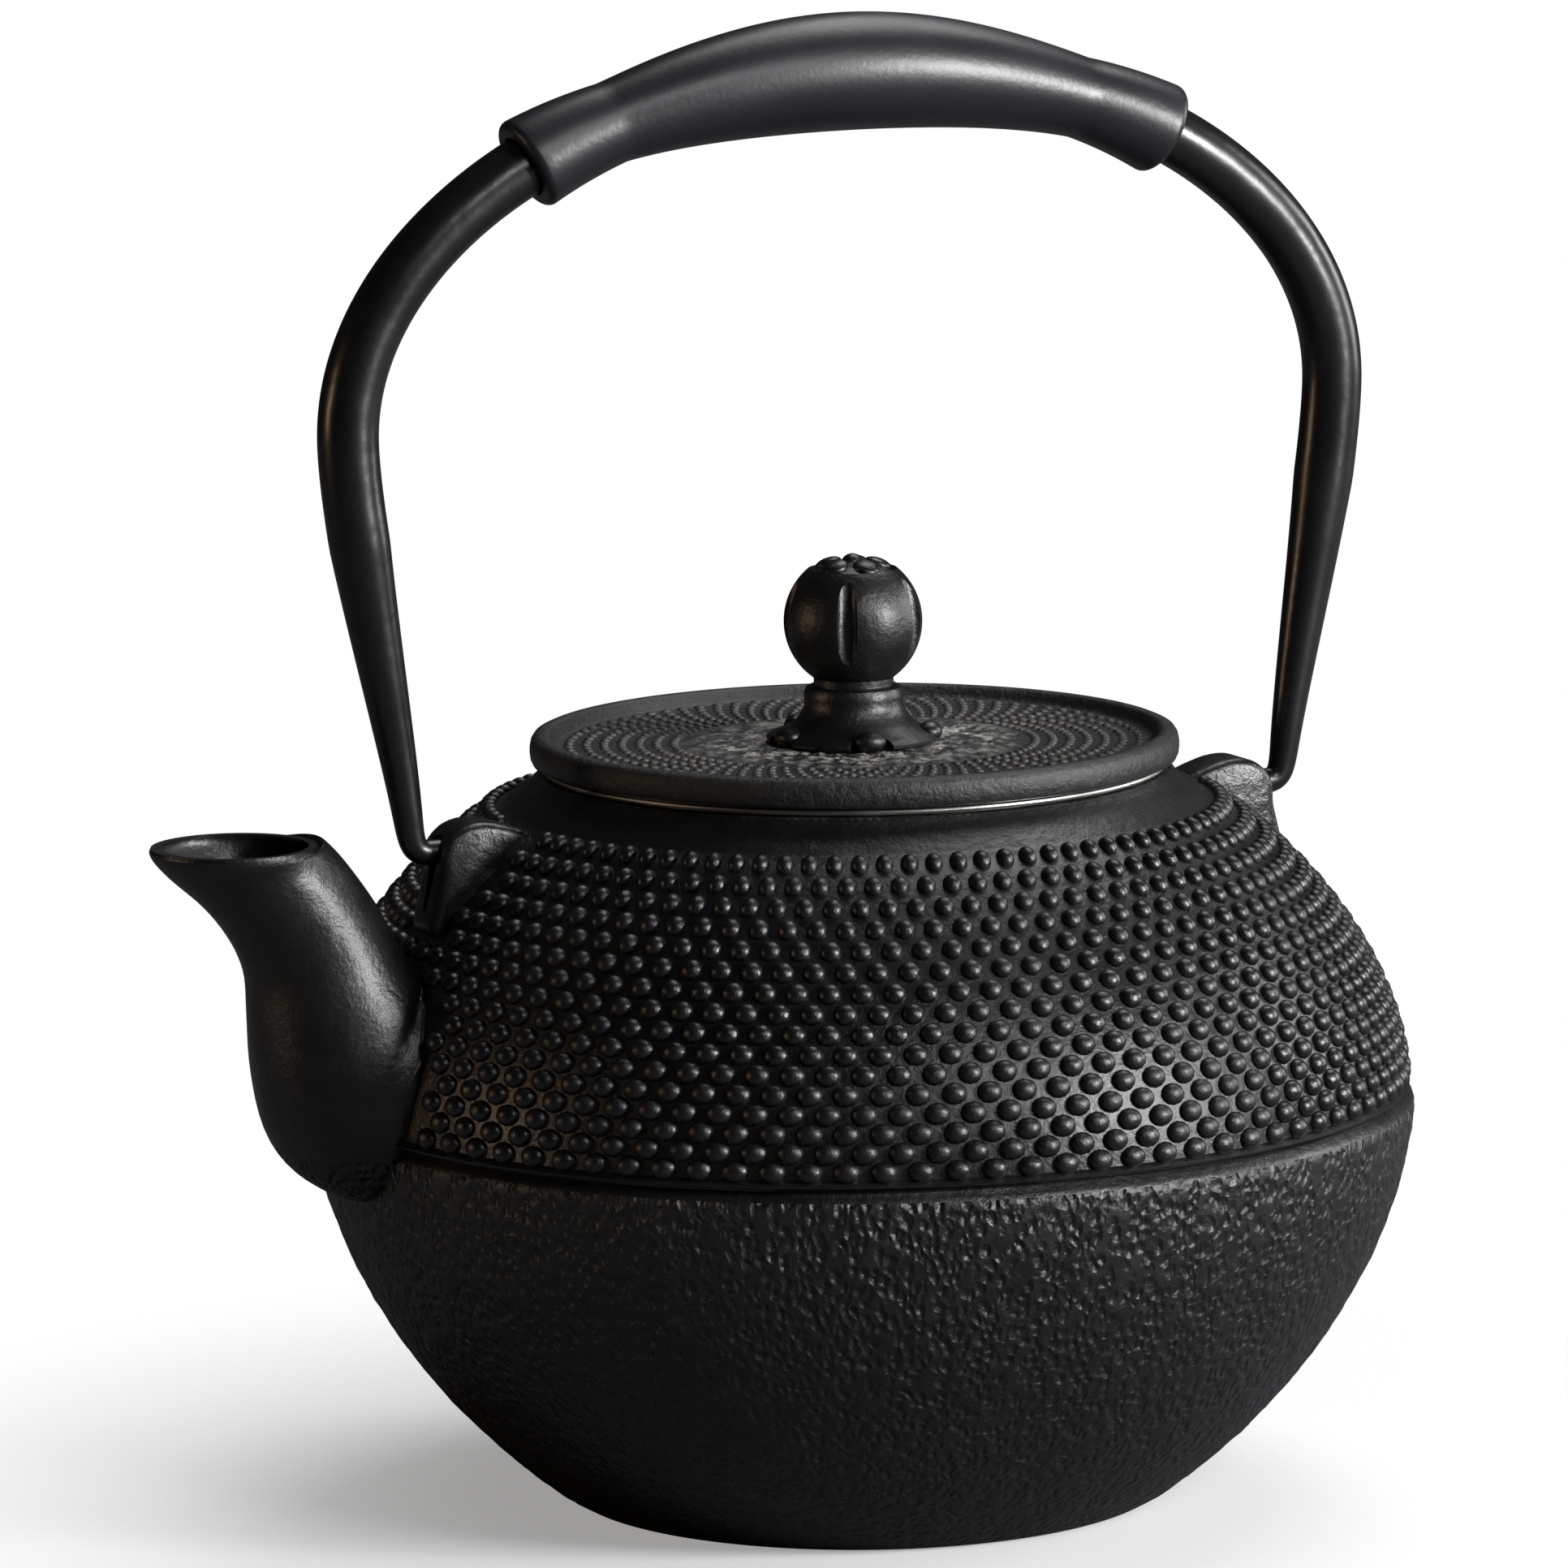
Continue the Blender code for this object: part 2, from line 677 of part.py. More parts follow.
def grip_half():
    """(distance from the middle, radius) along the grip: a swollen crown, a waist, and a cuff that widens."""
    waist = CROWN_HALF_LENGTH
    stations = []
    for i in range(GRIP_SPANS + 1):
        share = i / GRIP_SPANS
        swell = math.cos(share * math.pi / 2) ** 1.15
        wall = GRIP_WAIST_WALL + (GRIP_WALL - GRIP_WAIST_WALL) * swell
        stations.append((waist * share, grip_bore_radius + wall))
    cuff_end = waist + GRIP_CUFF_LENGTH - GRIP_END_ROUND
    for share in (0.35, 0.7, 1.0):
        wall = GRIP_WAIST_WALL + (GRIP_CUFF_WALL - GRIP_WAIST_WALL) * share
        stations.append((waist + (cuff_end - waist) * share, grip_bore_radius + wall))
    for angle in (30, 60, 90):
        turned = math.radians(angle)
        wall = GRIP_CUFF_WALL - GRIP_END_ROUND * (1 - math.cos(turned))
        stations.append((cuff_end + GRIP_END_ROUND * math.sin(turned), grip_bore_radius + wall))
    return stations


def make_grip():
    """Moulded sleeve round the bail's crown, bored to the rod."""
    half = half_bail()
    lengths = lengths_along(half)
    stations = grip_half()
    path = mirrored([point_at(half, lengths, distance) for distance, _ in stations])
    radii = [radius for _, radius in reversed(stations[1:])] + [radius for _, radius in stations]
    grip = add_object("bail_grip", swept_mesh("bail_grip", path, radii, GRIP_ROUNDNESS), parts, moulded_grip)
    bore_length = stations[-1][0] + GRIP_CUFF_LENGTH / 2
    bore_path = mirrored([point for point, along in zip(half, lengths) if along < bore_length])
    bore_radii = [grip_bore_radius] * len(bore_path)
    bore = add_cutter("grip_bore", swept_mesh("grip_bore", bore_path, bore_radii, ROD_ROUNDNESS))
    boolean(grip, bore, "DIFFERENCE")
    return grip


clear_scene()
parts = new_collection("cast_iron_teapot")
cutters = new_collection("cutters")
cast_iron = make_material("black cast iron", (0.012, 0.012, 0.012), 0.48, 0.0)
painted_steel = make_material("black painted steel", (0.009, 0.009, 0.010), 0.36, 0.0)
moulded_grip = make_material("black moulded grip", (0.018, 0.017, 0.020), 0.42, 0.0)
stainless = make_material("stainless steel", (0.60, 0.59, 0.57), 0.28, 1.0)

make_pot_body()
make_infuser_rim()
make_infuser_sleeve()
make_infuser_base()
make_lid()
make_knob_seat()
make_lid_knob()
make_knob_washer()
bail_object = make_bail()
grip_object = make_grip()
grip_object.parent = bail_object
grip_object.matrix_parent_inverse.translation = (0.0, 0.0, -hinge_height)
for made in list(parts.objects) + list(cutters.objects):
    shade_round(made.data)
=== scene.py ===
"""Cast iron teapot: the finished look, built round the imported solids.

Each section below is one piece of the teapot, in the order in which it is put together.
Sizes are in metres, +Z is up, the spout points along -X.
"""

import json
import math

import bmesh
import bpy
from mathutils import Matrix, Vector
from mathutils.bvhtree import BVHTree

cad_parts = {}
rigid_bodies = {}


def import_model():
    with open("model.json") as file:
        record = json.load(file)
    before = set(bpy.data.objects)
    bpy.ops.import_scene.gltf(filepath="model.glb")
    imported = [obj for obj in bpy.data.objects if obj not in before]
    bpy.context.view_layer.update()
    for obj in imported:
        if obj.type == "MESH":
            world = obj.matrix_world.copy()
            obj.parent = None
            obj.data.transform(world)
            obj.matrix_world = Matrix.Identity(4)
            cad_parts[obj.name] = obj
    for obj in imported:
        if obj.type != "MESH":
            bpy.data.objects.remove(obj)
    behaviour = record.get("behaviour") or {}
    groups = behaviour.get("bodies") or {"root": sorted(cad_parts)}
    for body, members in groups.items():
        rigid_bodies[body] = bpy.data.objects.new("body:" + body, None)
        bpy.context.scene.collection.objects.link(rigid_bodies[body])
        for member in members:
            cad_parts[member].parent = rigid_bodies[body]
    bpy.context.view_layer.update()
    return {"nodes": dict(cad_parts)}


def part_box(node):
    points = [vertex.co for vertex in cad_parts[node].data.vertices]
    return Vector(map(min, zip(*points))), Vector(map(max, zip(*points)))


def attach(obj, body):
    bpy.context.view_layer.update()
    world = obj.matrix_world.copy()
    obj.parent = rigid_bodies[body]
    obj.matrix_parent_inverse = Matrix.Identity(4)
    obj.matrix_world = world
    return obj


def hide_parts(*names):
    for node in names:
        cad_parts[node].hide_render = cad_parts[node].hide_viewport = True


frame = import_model()

# ----
# Studio. A white board under five soft lamps: a tall window at the right for the sharp glints,
# a small box above it, a broad one overhead for the lid, a rim lamp far round to the right, and
# a weak warm one at the left, which stays dark.

MM = 0.001
CAMERA_SIDE = math.radians(-25)
CAMERA_REACH = 1.5
CAMERA_HEIGHT = 0.3461
CAMERA_PITCH = math.radians(9.073)
CAMERA_TURN = math.radians(0.402)
CAMERA_ROLL = math.radians(-0.688)
CAMERA_LENS = 234.4


def linear(code):
    """An sRGB hex colour as the linear colour that a shader takes."""
    channels = [int(code[i:i + 2], 16) / 255 for i in (0, 2, 4)]
    return tuple(c / 12.92 if c <= 0.04045 else ((c + 0.055) / 1.055) ** 2.4 for c in channels) + (1.0,)


def add_node(tree, kind, inputs=None, stops=(), **settings):
    """Adds a node. An input that is a node or its socket is linked, and any other is set."""
    made = tree.nodes.new("ShaderNode" + kind)
    for name, value in settings.items():
        setattr(made, name, value)
    for name, value in (inputs or {}).items():
        if isinstance(value, bpy.types.Node):
            value = value.outputs[0]
        if isinstance(value, bpy.types.NodeSocket):
            tree.links.new(value, made.inputs[name])
        else:
            made.inputs[name].default_value = value
    for i, (position, colour) in enumerate(stops):
        made.color_ramp.elements[i].position = position
        made.color_ramp.elements[i].color = linear(colour)
    return made


def new_material(name):
    """An empty material with its object coordinates ready."""
    material = bpy.data.materials.new(name)
    material.use_nodes = True
    tree = material.node_tree
    tree.nodes.clear()
    place = add_node(tree, "TexCoord").outputs["Object"]
    return material, tree, place


def finish_material(tree, colour, roughness, relief, more=None):
    """Ends a material with its surface shader."""
    inputs = {"Base Color": colour, "Roughness": roughness, "Normal": relief, **(more or {})}
    surface = add_node(tree, "BsdfPrincipled", inputs)
    add_node(tree, "OutputMaterial", {"Surface": surface})


def set_camera():
    data = bpy.data.cameras.new("studio_camera")
    data.lens = CAMERA_LENS
    data.sensor_width = 36
    data.clip_start = 0.05
    data.clip_end = 50
    camera = bpy.data.objects.new("studio_camera", data)
    bpy.context.scene.collection.objects.link(camera)
    aside = CAMERA_REACH * math.sin(CAMERA_SIDE)
    back = -CAMERA_REACH * math.cos(CAMERA_SIDE)
    heading = Matrix.Rotation(CAMERA_SIDE + CAMERA_TURN, 4, "Z")
    tip = Matrix.Rotation(math.pi / 2 - CAMERA_PITCH, 4, "X")
    roll = Matrix.Rotation(CAMERA_ROLL, 4, "Z")
    camera.matrix_world = Matrix.Translation((aside, back, CAMERA_HEIGHT)) @ heading @ tip @ roll
    bpy.context.scene.camera = camera


def add_soft_light(name, around, rise, reach, width, height, watts, colour="ffffff"):
    """A rectangular lamp that faces the pot; around is degrees to the right of the camera."""
    data = bpy.data.lights.new(name, "AREA")
    data.shape = "RECTANGLE"
    data.size = width
    data.size_y = height
    data.energy = watts
    data.color = linear(colour)[:3]
    lamp = bpy.data.objects.new(name, data)
    bpy.context.scene.collection.objects.link(lamp)
    angle = CAMERA_SIDE - math.pi / 2 + math.radians(around)
    lift = math.radians(rise)
    aim = Vector((0.0, 0.0, 0.08))
    out = Vector((math.cos(angle) * math.cos(lift), math.sin(angle) * math.cos(lift), math.sin(lift)))
    lamp.location = aim + out * reach
    lamp.rotation_euler = out.to_track_quat("Z", "Y").to_euler()


def deselect():
    bpy.ops.object.select_all(action="DESELECT")


def make_table():
    """White board, matt, under a painted white glow that only the camera sees: a third of full strength near
    the pot, which lightens its cast shadow, and full further off, where it washes out to white. Light that
    bounces off the board meets a darker grey than the camera sees.
    """
    deselect()
    bpy.ops.mesh.primitive_grid_add(
        x_subdivisions=4, y_subdivisions=4, size=9.0, location=(0.0, 0.0, -0.05 * MM),
    )
    table = bpy.context.object
    table.name = "studio_table"
    material, tree, place = new_material("white matt table board with painted white glow")
    far = add_node(tree, "VectorMath", {0: place}, operation="LENGTH")
    # Painted white glow, seen by the camera only: a third near the pot, where it lightens the cast shadow,
    # full further off.
    painted_glow_share = add_node(tree, "MapRange", {
        "Value": far.outputs["Value"], "From Min": 0.05, "From Max": 0.18, "To Min": 0.32, "To Max": 1.0,
    }, interpolation_type="SMOOTHSTEP")
    seen = add_node(tree, "LightPath").outputs["Is Camera Ray"]
    shown = add_node(tree, "Math", {0: painted_glow_share, 1: seen}, operation="MULTIPLY")
    weave = add_node(tree, "TexNoise", {"Vector": place, "Scale": 600.0, "Detail": 3.0})
    relief = add_node(tree, "Bump", {"Height": weave, "Strength": 0.15, "Distance": 0.0003})
    paint = add_node(tree, "Mix", {0: seen, 6: linear("6f6f72"), 7: linear("f0f0f1")}, data_type="RGBA")
    board = add_node(tree, "BsdfDiffuse", {"Color": paint.outputs[2], "Normal": relief})
    painted_white_glow = add_node(tree, "Emission", {"Color": (1.0, 1.0, 1.0, 1.0), "Strength": 1.0})
    mixed = add_node(tree, "MixShader", {0: shown, 1: board, 2: painted_white_glow})
    add_node(tree, "OutputMaterial", {"Surface": mixed})
    table.data.materials.append(material)


def light_world():
    """Dim room light for the pot, and plain white where the view runs past the table."""
    world = bpy.data.worlds.new("studio_world")
    bpy.context.scene.world = world
    world.use_nodes = True
    tree = world.node_tree
    tree.nodes.clear()
    seen = add_node(tree, "LightPath").outputs["Is Camera Ray"]
    room = add_node(tree, "Background", {"Color": linear("c9ced6"), "Strength": 0.035})
    backdrop = add_node(tree, "Background", {"Color": (1.0, 1.0, 1.0, 1.0), "Strength": 1.0})
    mixed = add_node(tree, "MixShader", {0: seen, 1: room, 2: backdrop})
    add_node(tree, "OutputWorld", {"Surface": mixed})


set_camera()
make_table()
light_world()
bpy.context.scene.view_settings.view_transform = "Standard"
add_soft_light("window_right", 62, 15, 1.1, 0.15, 0.34, 17)
add_soft_light("soft_box_above", 34, 34, 1.3, 0.26, 0.22, 3.5)
add_soft_light("sky_overhead", 150, 62, 1.6, 0.9, 0.9, 12)
add_soft_light("rim_right", 110, 14, 1.2, 0.30, 0.60, 6)
add_soft_light("warm_lamp_left", -80, 8, 1.5, 0.25, 0.35, 2.2, "ffdcb4")

# ----
# Pot casting. One grey iron casting: a squared-off bowl poured in two mould halves, with the
# spout and both handle lugs cast on. The halves met a little out of line, which left the step
# at the seam. It is black lacquered outside and enamelled inside the bowl.

pot_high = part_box("pot_body")[1]
BELLY_RADIUS = pot_high.y
NECK_TOP = pot_high.z
SEAM_HEIGHT = 61.3 * MM
BASE_RADIUS = 44.5 * MM
SHOULDER_CLOSING = 61.5 * MM
SQUARENESS = 1.8
WALL = 3.2 * MM
FLOOR = 4.5 * MM
NAIL_HEIGHT = 1.3 * MM
NAIL_SINK = 0.85 * NAIL_HEIGHT
NECK_TOP_RADIUS = 47.4 * MM
NECK_FOOT_RADIUS = 52.0 * MM
NECK_BORE_RADIUS = 44.6 * MM
NECK_FOOT = NECK_TOP - 4.6 * MM
POT_FACETS = 448
MOULD_SHIFT = 0.6 * MM
SKIN_GRAIN = 2.6 * MM
HINGE_HEIGHT = NECK_TOP - 7.3 * MM
LUG_REACH = 68.4 * MM
WELD = 0.005 * MM


def bowl_radius(depth, radius, closing):
    """Radius of a squared ellipse at this distance above or below its widest level."""
    share = min(1.0, abs(depth) / closing)
    return radius * (1.0 - share ** SQUARENESS) ** (1.0 / SQUARENESS)


def shoulder_radius(height, inset=0.0):
    return bowl_radius(height - SEAM_HEIGHT, BELLY_RADIUS - inset, SHOULDER_CLOSING - inset)


def hull_radius(height, inset=0.0):
    closing = SEAM_HEIGHT / (1.0 - (BASE_RADIUS / BELLY_RADIUS) ** SQUARENESS) ** (1.0 / SQUARENESS)
    return bowl_radius(SEAM_HEIGHT - height, BELLY_RADIUS - inset, closing - inset)


def stretch(start, end, count):
    """Evenly spaced values from start to end, both included."""
    return [start + (end - start) * i / count for i in range(count + 1)]


def near(radius, height, *steps):
    """Points of a profile, given in millimetres out and up from one corner of the piece."""
    return [(radius + out * MM, height + up * MM) for out, up in steps]


def only(obj):
    """Selects this object alone and makes it the active one."""
    deselect()
    obj.select_set(True)
    bpy.context.view_layer.objects.active = obj


def pick(obj, wanted, kind="VERT"):
    """In edit mode, selects the vertices or faces for which wanted(element) is true."""
    bpy.ops.mesh.select_mode(type=kind)
    bpy.ops.mesh.select_all(action="DESELECT")
    shape = bmesh.from_edit_mesh(obj.data)
    for element in (shape.verts if kind == "VERT" else shape.faces):
        if wanted(element):
            element.select_set(True)
    shape.select_flush(True)
    bmesh.update_edit_mesh(obj.data)


def open_mesh():
    """Starts editing the active object, with all of its mesh selected."""
    bpy.ops.object.mode_set(mode="EDIT")
    bpy.ops.mesh.select_all(action="SELECT")


def close_mesh():
    """Turns every face outwards and ends the editing."""
    bpy.ops.mesh.select_all(action="SELECT")
    bpy.ops.mesh.normals_make_consistent(inside=False)
    bpy.ops.object.mode_set(mode="OBJECT")


def draw_line(name, points):
    """A line drawn point by point, left open for editing with all of it selected."""
    deselect()
    bpy.ops.mesh.primitive_plane_add(size=MM, location=(0.0, 0.0, 0.0))
    bpy.context.object.name = name
    open_mesh()
    bpy.ops.mesh.merge(type="CENTER")
    bpy.ops.transform.translate(value=points[0])
    for before, after in zip(points, points[1:]):
        step = [end - start for start, end in zip(before, after)]
        bpy.ops.mesh.extrude_vertices_move(TRANSFORM_OT_translate={"value": step})
    bpy.ops.mesh.select_all(action="SELECT")
    bpy.ops.mesh.remove_doubles(threshold=WELD)
    bpy.ops.mesh.select_all(action="SELECT")


def turned(name, outline, facets):
    """A profile drawn in the XZ plane, then spun about Z."""
    draw_line(name, [(x, 0.0, z) for x, z in outline])
    bpy.ops.mesh.spin(steps=facets, angle=math.tau, center=(0.0, 0.0, 0.0), axis=(0.0, 0.0, 1.0))
    bpy.ops.mesh.select_all(action="SELECT")
    bpy.ops.mesh.remove_doubles(threshold=WELD)
    close_mesh()
    return bpy.context.object


def combine(obj, other, operation):
    """Boolean of obj with other, which is used up."""
    only(obj)
    modifier = obj.modifiers.new(operation.lower(), "BOOLEAN")
    modifier.operation = operation
    modifier.solver = "MANIFOLD"
    modifier.object = other
    bpy.ops.object.modifier_apply(modifier=modifier.name)
    bpy.data.objects.remove(other, do_unlink=True)


def pot_outline():
    """The mould's outside: from the middle of the base up to the lip of the neck."""
    outline = [(0.0, 0.0)]
    outline += [(radius, 0.0) for radius in stretch(6 * MM, BASE_RADIUS - 0.8 * MM, 6)]
    outline.append((BASE_RADIUS, 0.2 * MM))
    for height in stretch(1.0 * MM, SEAM_HEIGHT - 2.8 * MM, 66):
        outline.append((hull_radius(height), height))
    outline += near(
        BELLY_RADIUS, SEAM_HEIGHT, (-0.30, -2.0), (-0.75, -1.4), (-1.55, -0.5), (-1.65, 0.0),
        (-0.70, 0.05), (-0.28, 0.20), (-0.16, 0.45), (-0.50, 0.80),
    )
    for height in stretch(SEAM_HEIGHT + 1.2 * MM, NECK_FOOT - 0.7 * MM, 26):
        outline.append((shoulder_radius(height) - NAIL_SINK, height))
    outline += near(NECK_FOOT_RADIUS, NECK_FOOT, (1.0, -0.25), (0.1, 0.3), (-0.7, 1.2))
    outline += near(NECK_TOP_RADIUS, NECK_TOP, (1.1, -1.9), (0.1, -0.5), (-0.35, 0.0))
    outline.append((0.0, NECK_TOP))
    return outline


def cavity_outline():
    """The sand core that left the bowl hollow: up inside the wall and out through the neck."""
    outline = [(0.0, FLOOR), (20 * MM, FLOOR), (36 * MM, FLOOR)]
    for height in stretch(FLOOR + 1.0 * MM, SEAM_HEIGHT - 1.0 * MM, 24):
        outline.append((hull_radius(height, WALL), height))
    for height in stretch(SEAM_HEIGHT + 1.0 * MM, NECK_FOOT - WALL, 18):
        outline.append((shoulder_radius(height, WALL), height))
    outline.append((NECK_BORE_RADIUS, NECK_FOOT - 0.6 * WALL))
    outline += near(NECK_BORE_RADIUS, NECK_TOP, (0.0, -0.3), (0.3, 0.02), (0.3, 2.0))
    outline.append((0.0, NECK_TOP + 2.0 * MM))
    return outline


SPOUT_ROOT_RADIUS = 16.6 * MM
SPOUT_WALL = 2.2 * MM
MOUTH_REACH = BELLY_RADIUS + 16.5 * MM
MOUTH_HEIGHT = NECK_TOP - 3.9 * MM
MOUTH_RADIUS = 12.1 * MM


def spout_sections():
    """Centre x and z, tilt of the flow from level to upright, half height and half width."""
    root = SPOUT_ROOT_RADIUS
    root_x = 6.5 * MM - BELLY_RADIUS
    root_z = SEAM_HEIGHT + 9.2 * MM
    rise = MOUTH_HEIGHT - root_z
    reach = MOUTH_REACH + root_x
    shares = [
        (0.0, -0.07, 10, 1.06, 1.00), (0.18, -0.03, 24, 1.05, 0.99), (0.30, 0.05, 40, 0.98, 0.95),
        (0.35, 0.21, 57, 0.87, 0.89), (0.42, 0.39, 67, 0.73, 0.79), (0.51, 0.58, 63, 0.65, 0.71),
        (0.67, 0.76, 58, 0.61, 0.67), (0.84, 0.89, 66, 0.62, 0.67),
    ]
    sections = [(root_x + 15 * MM, root_z - 0.07 * rise, 0, 1.04 * root, 1.00 * root)]
    for out, up, tilt, high, wide in shares:
        sections.append((root_x - out * reach, root_z + up * rise, tilt, high * root, wide * root))
    sections.append((-MOUTH_REACH, MOUTH_HEIGHT - 1.2 * MM, 87, MOUTH_RADIUS, MOUTH_RADIUS))
    sections.append((-MOUTH_REACH - 0.3 * MM, MOUTH_HEIGHT, 90, MOUTH_RADIUS, MOUTH_RADIUS))
    return sections


def smoothed(sections, count):
    """More sections between the given ones, on a curve that passes through each."""
    smooth = []
    last = len(sections) - 1
    for i in range(last):
        around = [sections[max(i - 1, 0)], sections[i], sections[i + 1], sections[min(i + 2, last)]]
        for step in range(count):
            t = step / count
            section = []
            for a, b, c, d in zip(*around):
                bent = (2 * a - 5 * b + 4 * c - d) * t ** 2 + (3 * b - a - 3 * c + d) * t ** 3
                section.append(b + ((c - a) * t + bent) / 2)
            smooth.append(tuple(section))
    smooth.append(sections[-1])
    return smooth


def join(name, pieces):
    deselect()
    for piece in pieces:
        piece.select_set(True)
    bpy.context.view_layer.objects.active = pieces[0]
    bpy.ops.object.join()
    bpy.context.object.name = name
    return bpy.context.object


def spout_skin(name, wall, overrun):
    """Rings placed one by one along the flow and bridged; wall and overrun make it the bore."""
    sections = smoothed(spout_sections(), 5)
    if overrun:
        x, z, tilt, high, wide = sections[-1]
        sections.append((x, z + overrun, tilt, high, wide))
        x, z, tilt, high, wide = sections[0]
        sections.insert(0, (x + 5 * overrun, z, tilt, high, wide))
    rings = []
    for x, z, tilt, high, wide in sections:
        deselect()
        bpy.ops.mesh.primitive_circle_add(
            vertices=80, radius=1.0, location=(x, 0.0, z), rotation=(0.0, math.radians(tilt - 90), 0.0),
        )
        flare = min(1.0, max(0.0, (z - MOUTH_HEIGHT + 8 * MM) / (7 * MM)))
        thin = wall * (1.0 - 0.45 * flare)
        bpy.context.object.scale = (high - thin, wide - thin, 1.0)
        bpy.ops.object.transform_apply()
        rings.append(bpy.context.object)
    spout = join(name, rings)
    open_mesh()
    bpy.ops.mesh.bridge_edge_loops()
    bpy.ops.mesh.select_all(action="SELECT")
    bpy.ops.mesh.fill_holes(sides=0)
    close_mesh()
    return spout


def lug_plate(side):
    """Fin cast on the shoulder, with a steep outer face, a round top and a ridge that runs inwards."""
    thickness = 8.6 * MM
    top = HINGE_HEIGHT + 4.5 * MM
    foot = HINGE_HEIGHT - 11.0 * MM
    outline = [(LUG_REACH - 16.5 * MM, foot)]
    outline += near(shoulder_radius(foot), foot, (-6.0, -4.5), (0.8, -0.5))
    outline += near(LUG_REACH, HINGE_HEIGHT, (-0.2, -2.5), (0.0, 0.4), (-1.6, 2.8))
    outline += near(LUG_REACH, top, (-4.2, -0.2), (-7.4, 0.0), (-11.0, -0.9), (-15.0, -2.4))
    draw_line("lug", [(side * x, -thickness / 2, z) for x, z in outline + [outline[0]]])
    bpy.ops.mesh.edge_face_add()
    bpy.ops.mesh.extrude_region_move(TRANSFORM_OT_translate={"value": (0.0, thickness, 0.0)})
    bpy.ops.mesh.select_all(action="SELECT")
    bpy.ops.mesh.normals_make_consistent(inside=False)
    bpy.ops.mesh.bevel(offset=1.5 * MM, segments=4, clamp_overlap=True)
    bpy.ops.object.mode_set(mode="OBJECT")
    return bpy.context.object


def hook_recess(side):
    """Blind hole in the lug's outer face, for the bail's hook."""
    deselect()
    bpy.ops.mesh.primitive_cylinder_add(
        vertices=32, radius=2.5 * MM, depth=8.0 * MM,
        location=(side * (LUG_REACH - 2.9 * MM), 0.0, HINGE_HEIGHT), rotation=(0.0, math.pi / 2, 0.0),
    )
    bpy.ops.object.transform_apply()
    return bpy.context.object


def hook_fork(side):
    """Wedge-shaped slot down the lug's outer face, which the hook drops through."""
    deselect()
    bpy.ops.mesh.primitive_cone_add(
        vertices=24, radius1=0.5 * MM, radius2=1.7 * MM, depth=8.0 * MM,
        location=(side * (LUG_REACH - 0.2 * MM), 0.0, HINGE_HEIGHT - 5.0 * MM),
        rotation=(0.0, side * math.radians(-18), 0.0),
    )
    bpy.ops.object.transform_apply()
    return bpy.context.object


def solid_test(*objects):
    """A function that says how far outside these closed solids a point is; negative is inside."""
    trees = []
    for obj in objects:
        shape = bmesh.new()
        shape.from_mesh(obj.data)
        trees.append(BVHTree.FromBMesh(shape))
        shape.free()

    def is_inside(tree, point):
        """Counts how often a slanting ray leaves or enters the solid; odd means it starts inside."""
        heading = Vector((0.31, 0.23, 0.92)).normalized()
        crossings = 0
        place = tree.ray_cast(point, heading)[0]
        while place is not None:
            crossings += 1
            place = tree.ray_cast(place + heading * 0.001 * MM, heading)[0]
        return crossings % 2 == 1

    def outside_by(point):
        return min(tree.find_nearest(point)[3] * (-1 if is_inside(tree, point) else 1) for tree in trees)

    return outside_by


def roughen(obj, group, texture, strength, middle):
    """Pushes the vertices of a group in and out along their normals by a texture, for good."""
    only(obj)
    modifier = obj.modifiers.new("casting skin", "DISPLACE")
    modifier.texture = texture
    modifier.texture_coords = "LOCAL"
    modifier.strength = strength
    modifier.mid_level = middle
    modifier.vertex_group = group
    bpy.ops.object.modifier_apply(modifier=modifier.name)


def make_pot_casting():
    pot = turned("pot_casting", pot_outline(), POT_FACETS)
    drift = Vector((0.906, -0.423, 0.0)) * MOULD_SHIFT
    bpy.ops.object.mode_set(mode="EDIT")
    seam = SEAM_HEIGHT - 0.2 * MM
    pick(pot, lambda v: v.co.z < seam and v.co.xy.length > hull_radius(v.co.z) - 1.8 * MM)
    bpy.ops.transform.translate(value=drift)
    bpy.ops.object.mode_set(mode="OBJECT")
    skin = pot.vertex_groups.new(name="mould_skin")
    for v in pot.data.vertices:
        on_the_side = 1.5 * MM < v.co.z < SEAM_HEIGHT - 2.5 * MM
        if on_the_side and v.co.xy.length > hull_radius(v.co.z) - 1.2 * MM:
            skin.add([v.index], 1.0, "REPLACE")
    pits = bpy.data.textures.new("sand_pits", "VORONOI")
    pits.noise_scale = SKIN_GRAIN
    pits.noise_intensity = 1.15
    roughen(pot, "mould_skin", pits, 0.30 * MM, 0.42)
    waves = bpy.data.textures.new("hand_rammed_sand", "CLOUDS")
    waves.noise_scale = 9 * MM
    waves.noise_depth = 2
    roughen(pot, "mould_skin", waves, 0.3 * MM, 0.5)

    spout = spout_skin("spout_outside", 0.0, 0.0)
    lugs = [lug_plate(side) for side in (-1, 1)]
    footprint = solid_test(spout, *lugs)
    combine(pot, spout, "UNION")
    for lug in lugs:
        combine(pot, lug, "UNION")
    combine(pot, turned("core", cavity_outline(), POT_FACETS // 2), "DIFFERENCE")
    combine(pot, spout_skin("spout_bore", SPOUT_WALL, SPOUT_WALL), "DIFFERENCE")
    for side in (-1, 1):
        combine(pot, hook_recess(side), "DIFFERENCE")
        combine(pot, hook_fork(side), "DIFFERENCE")
    return pot, footprint


def is_enamel(face):
    """The faces inside the bowl."""
    centre = face.calc_center_median()
    if centre.z < FLOOR - 0.5 * MM:
        return False
    if centre.x < -BELLY_RADIUS + 2 * MM:
        return False
    reach = centre.xy.length
    if centre.z < SEAM_HEIGHT:
        return reach < hull_radius(centre.z) - 0.6 * WALL
    if centre.z < NECK_FOOT - 0.5 * WALL:
        return reach < shoulder_radius(centre.z) - 0.75 * WALL
    return False


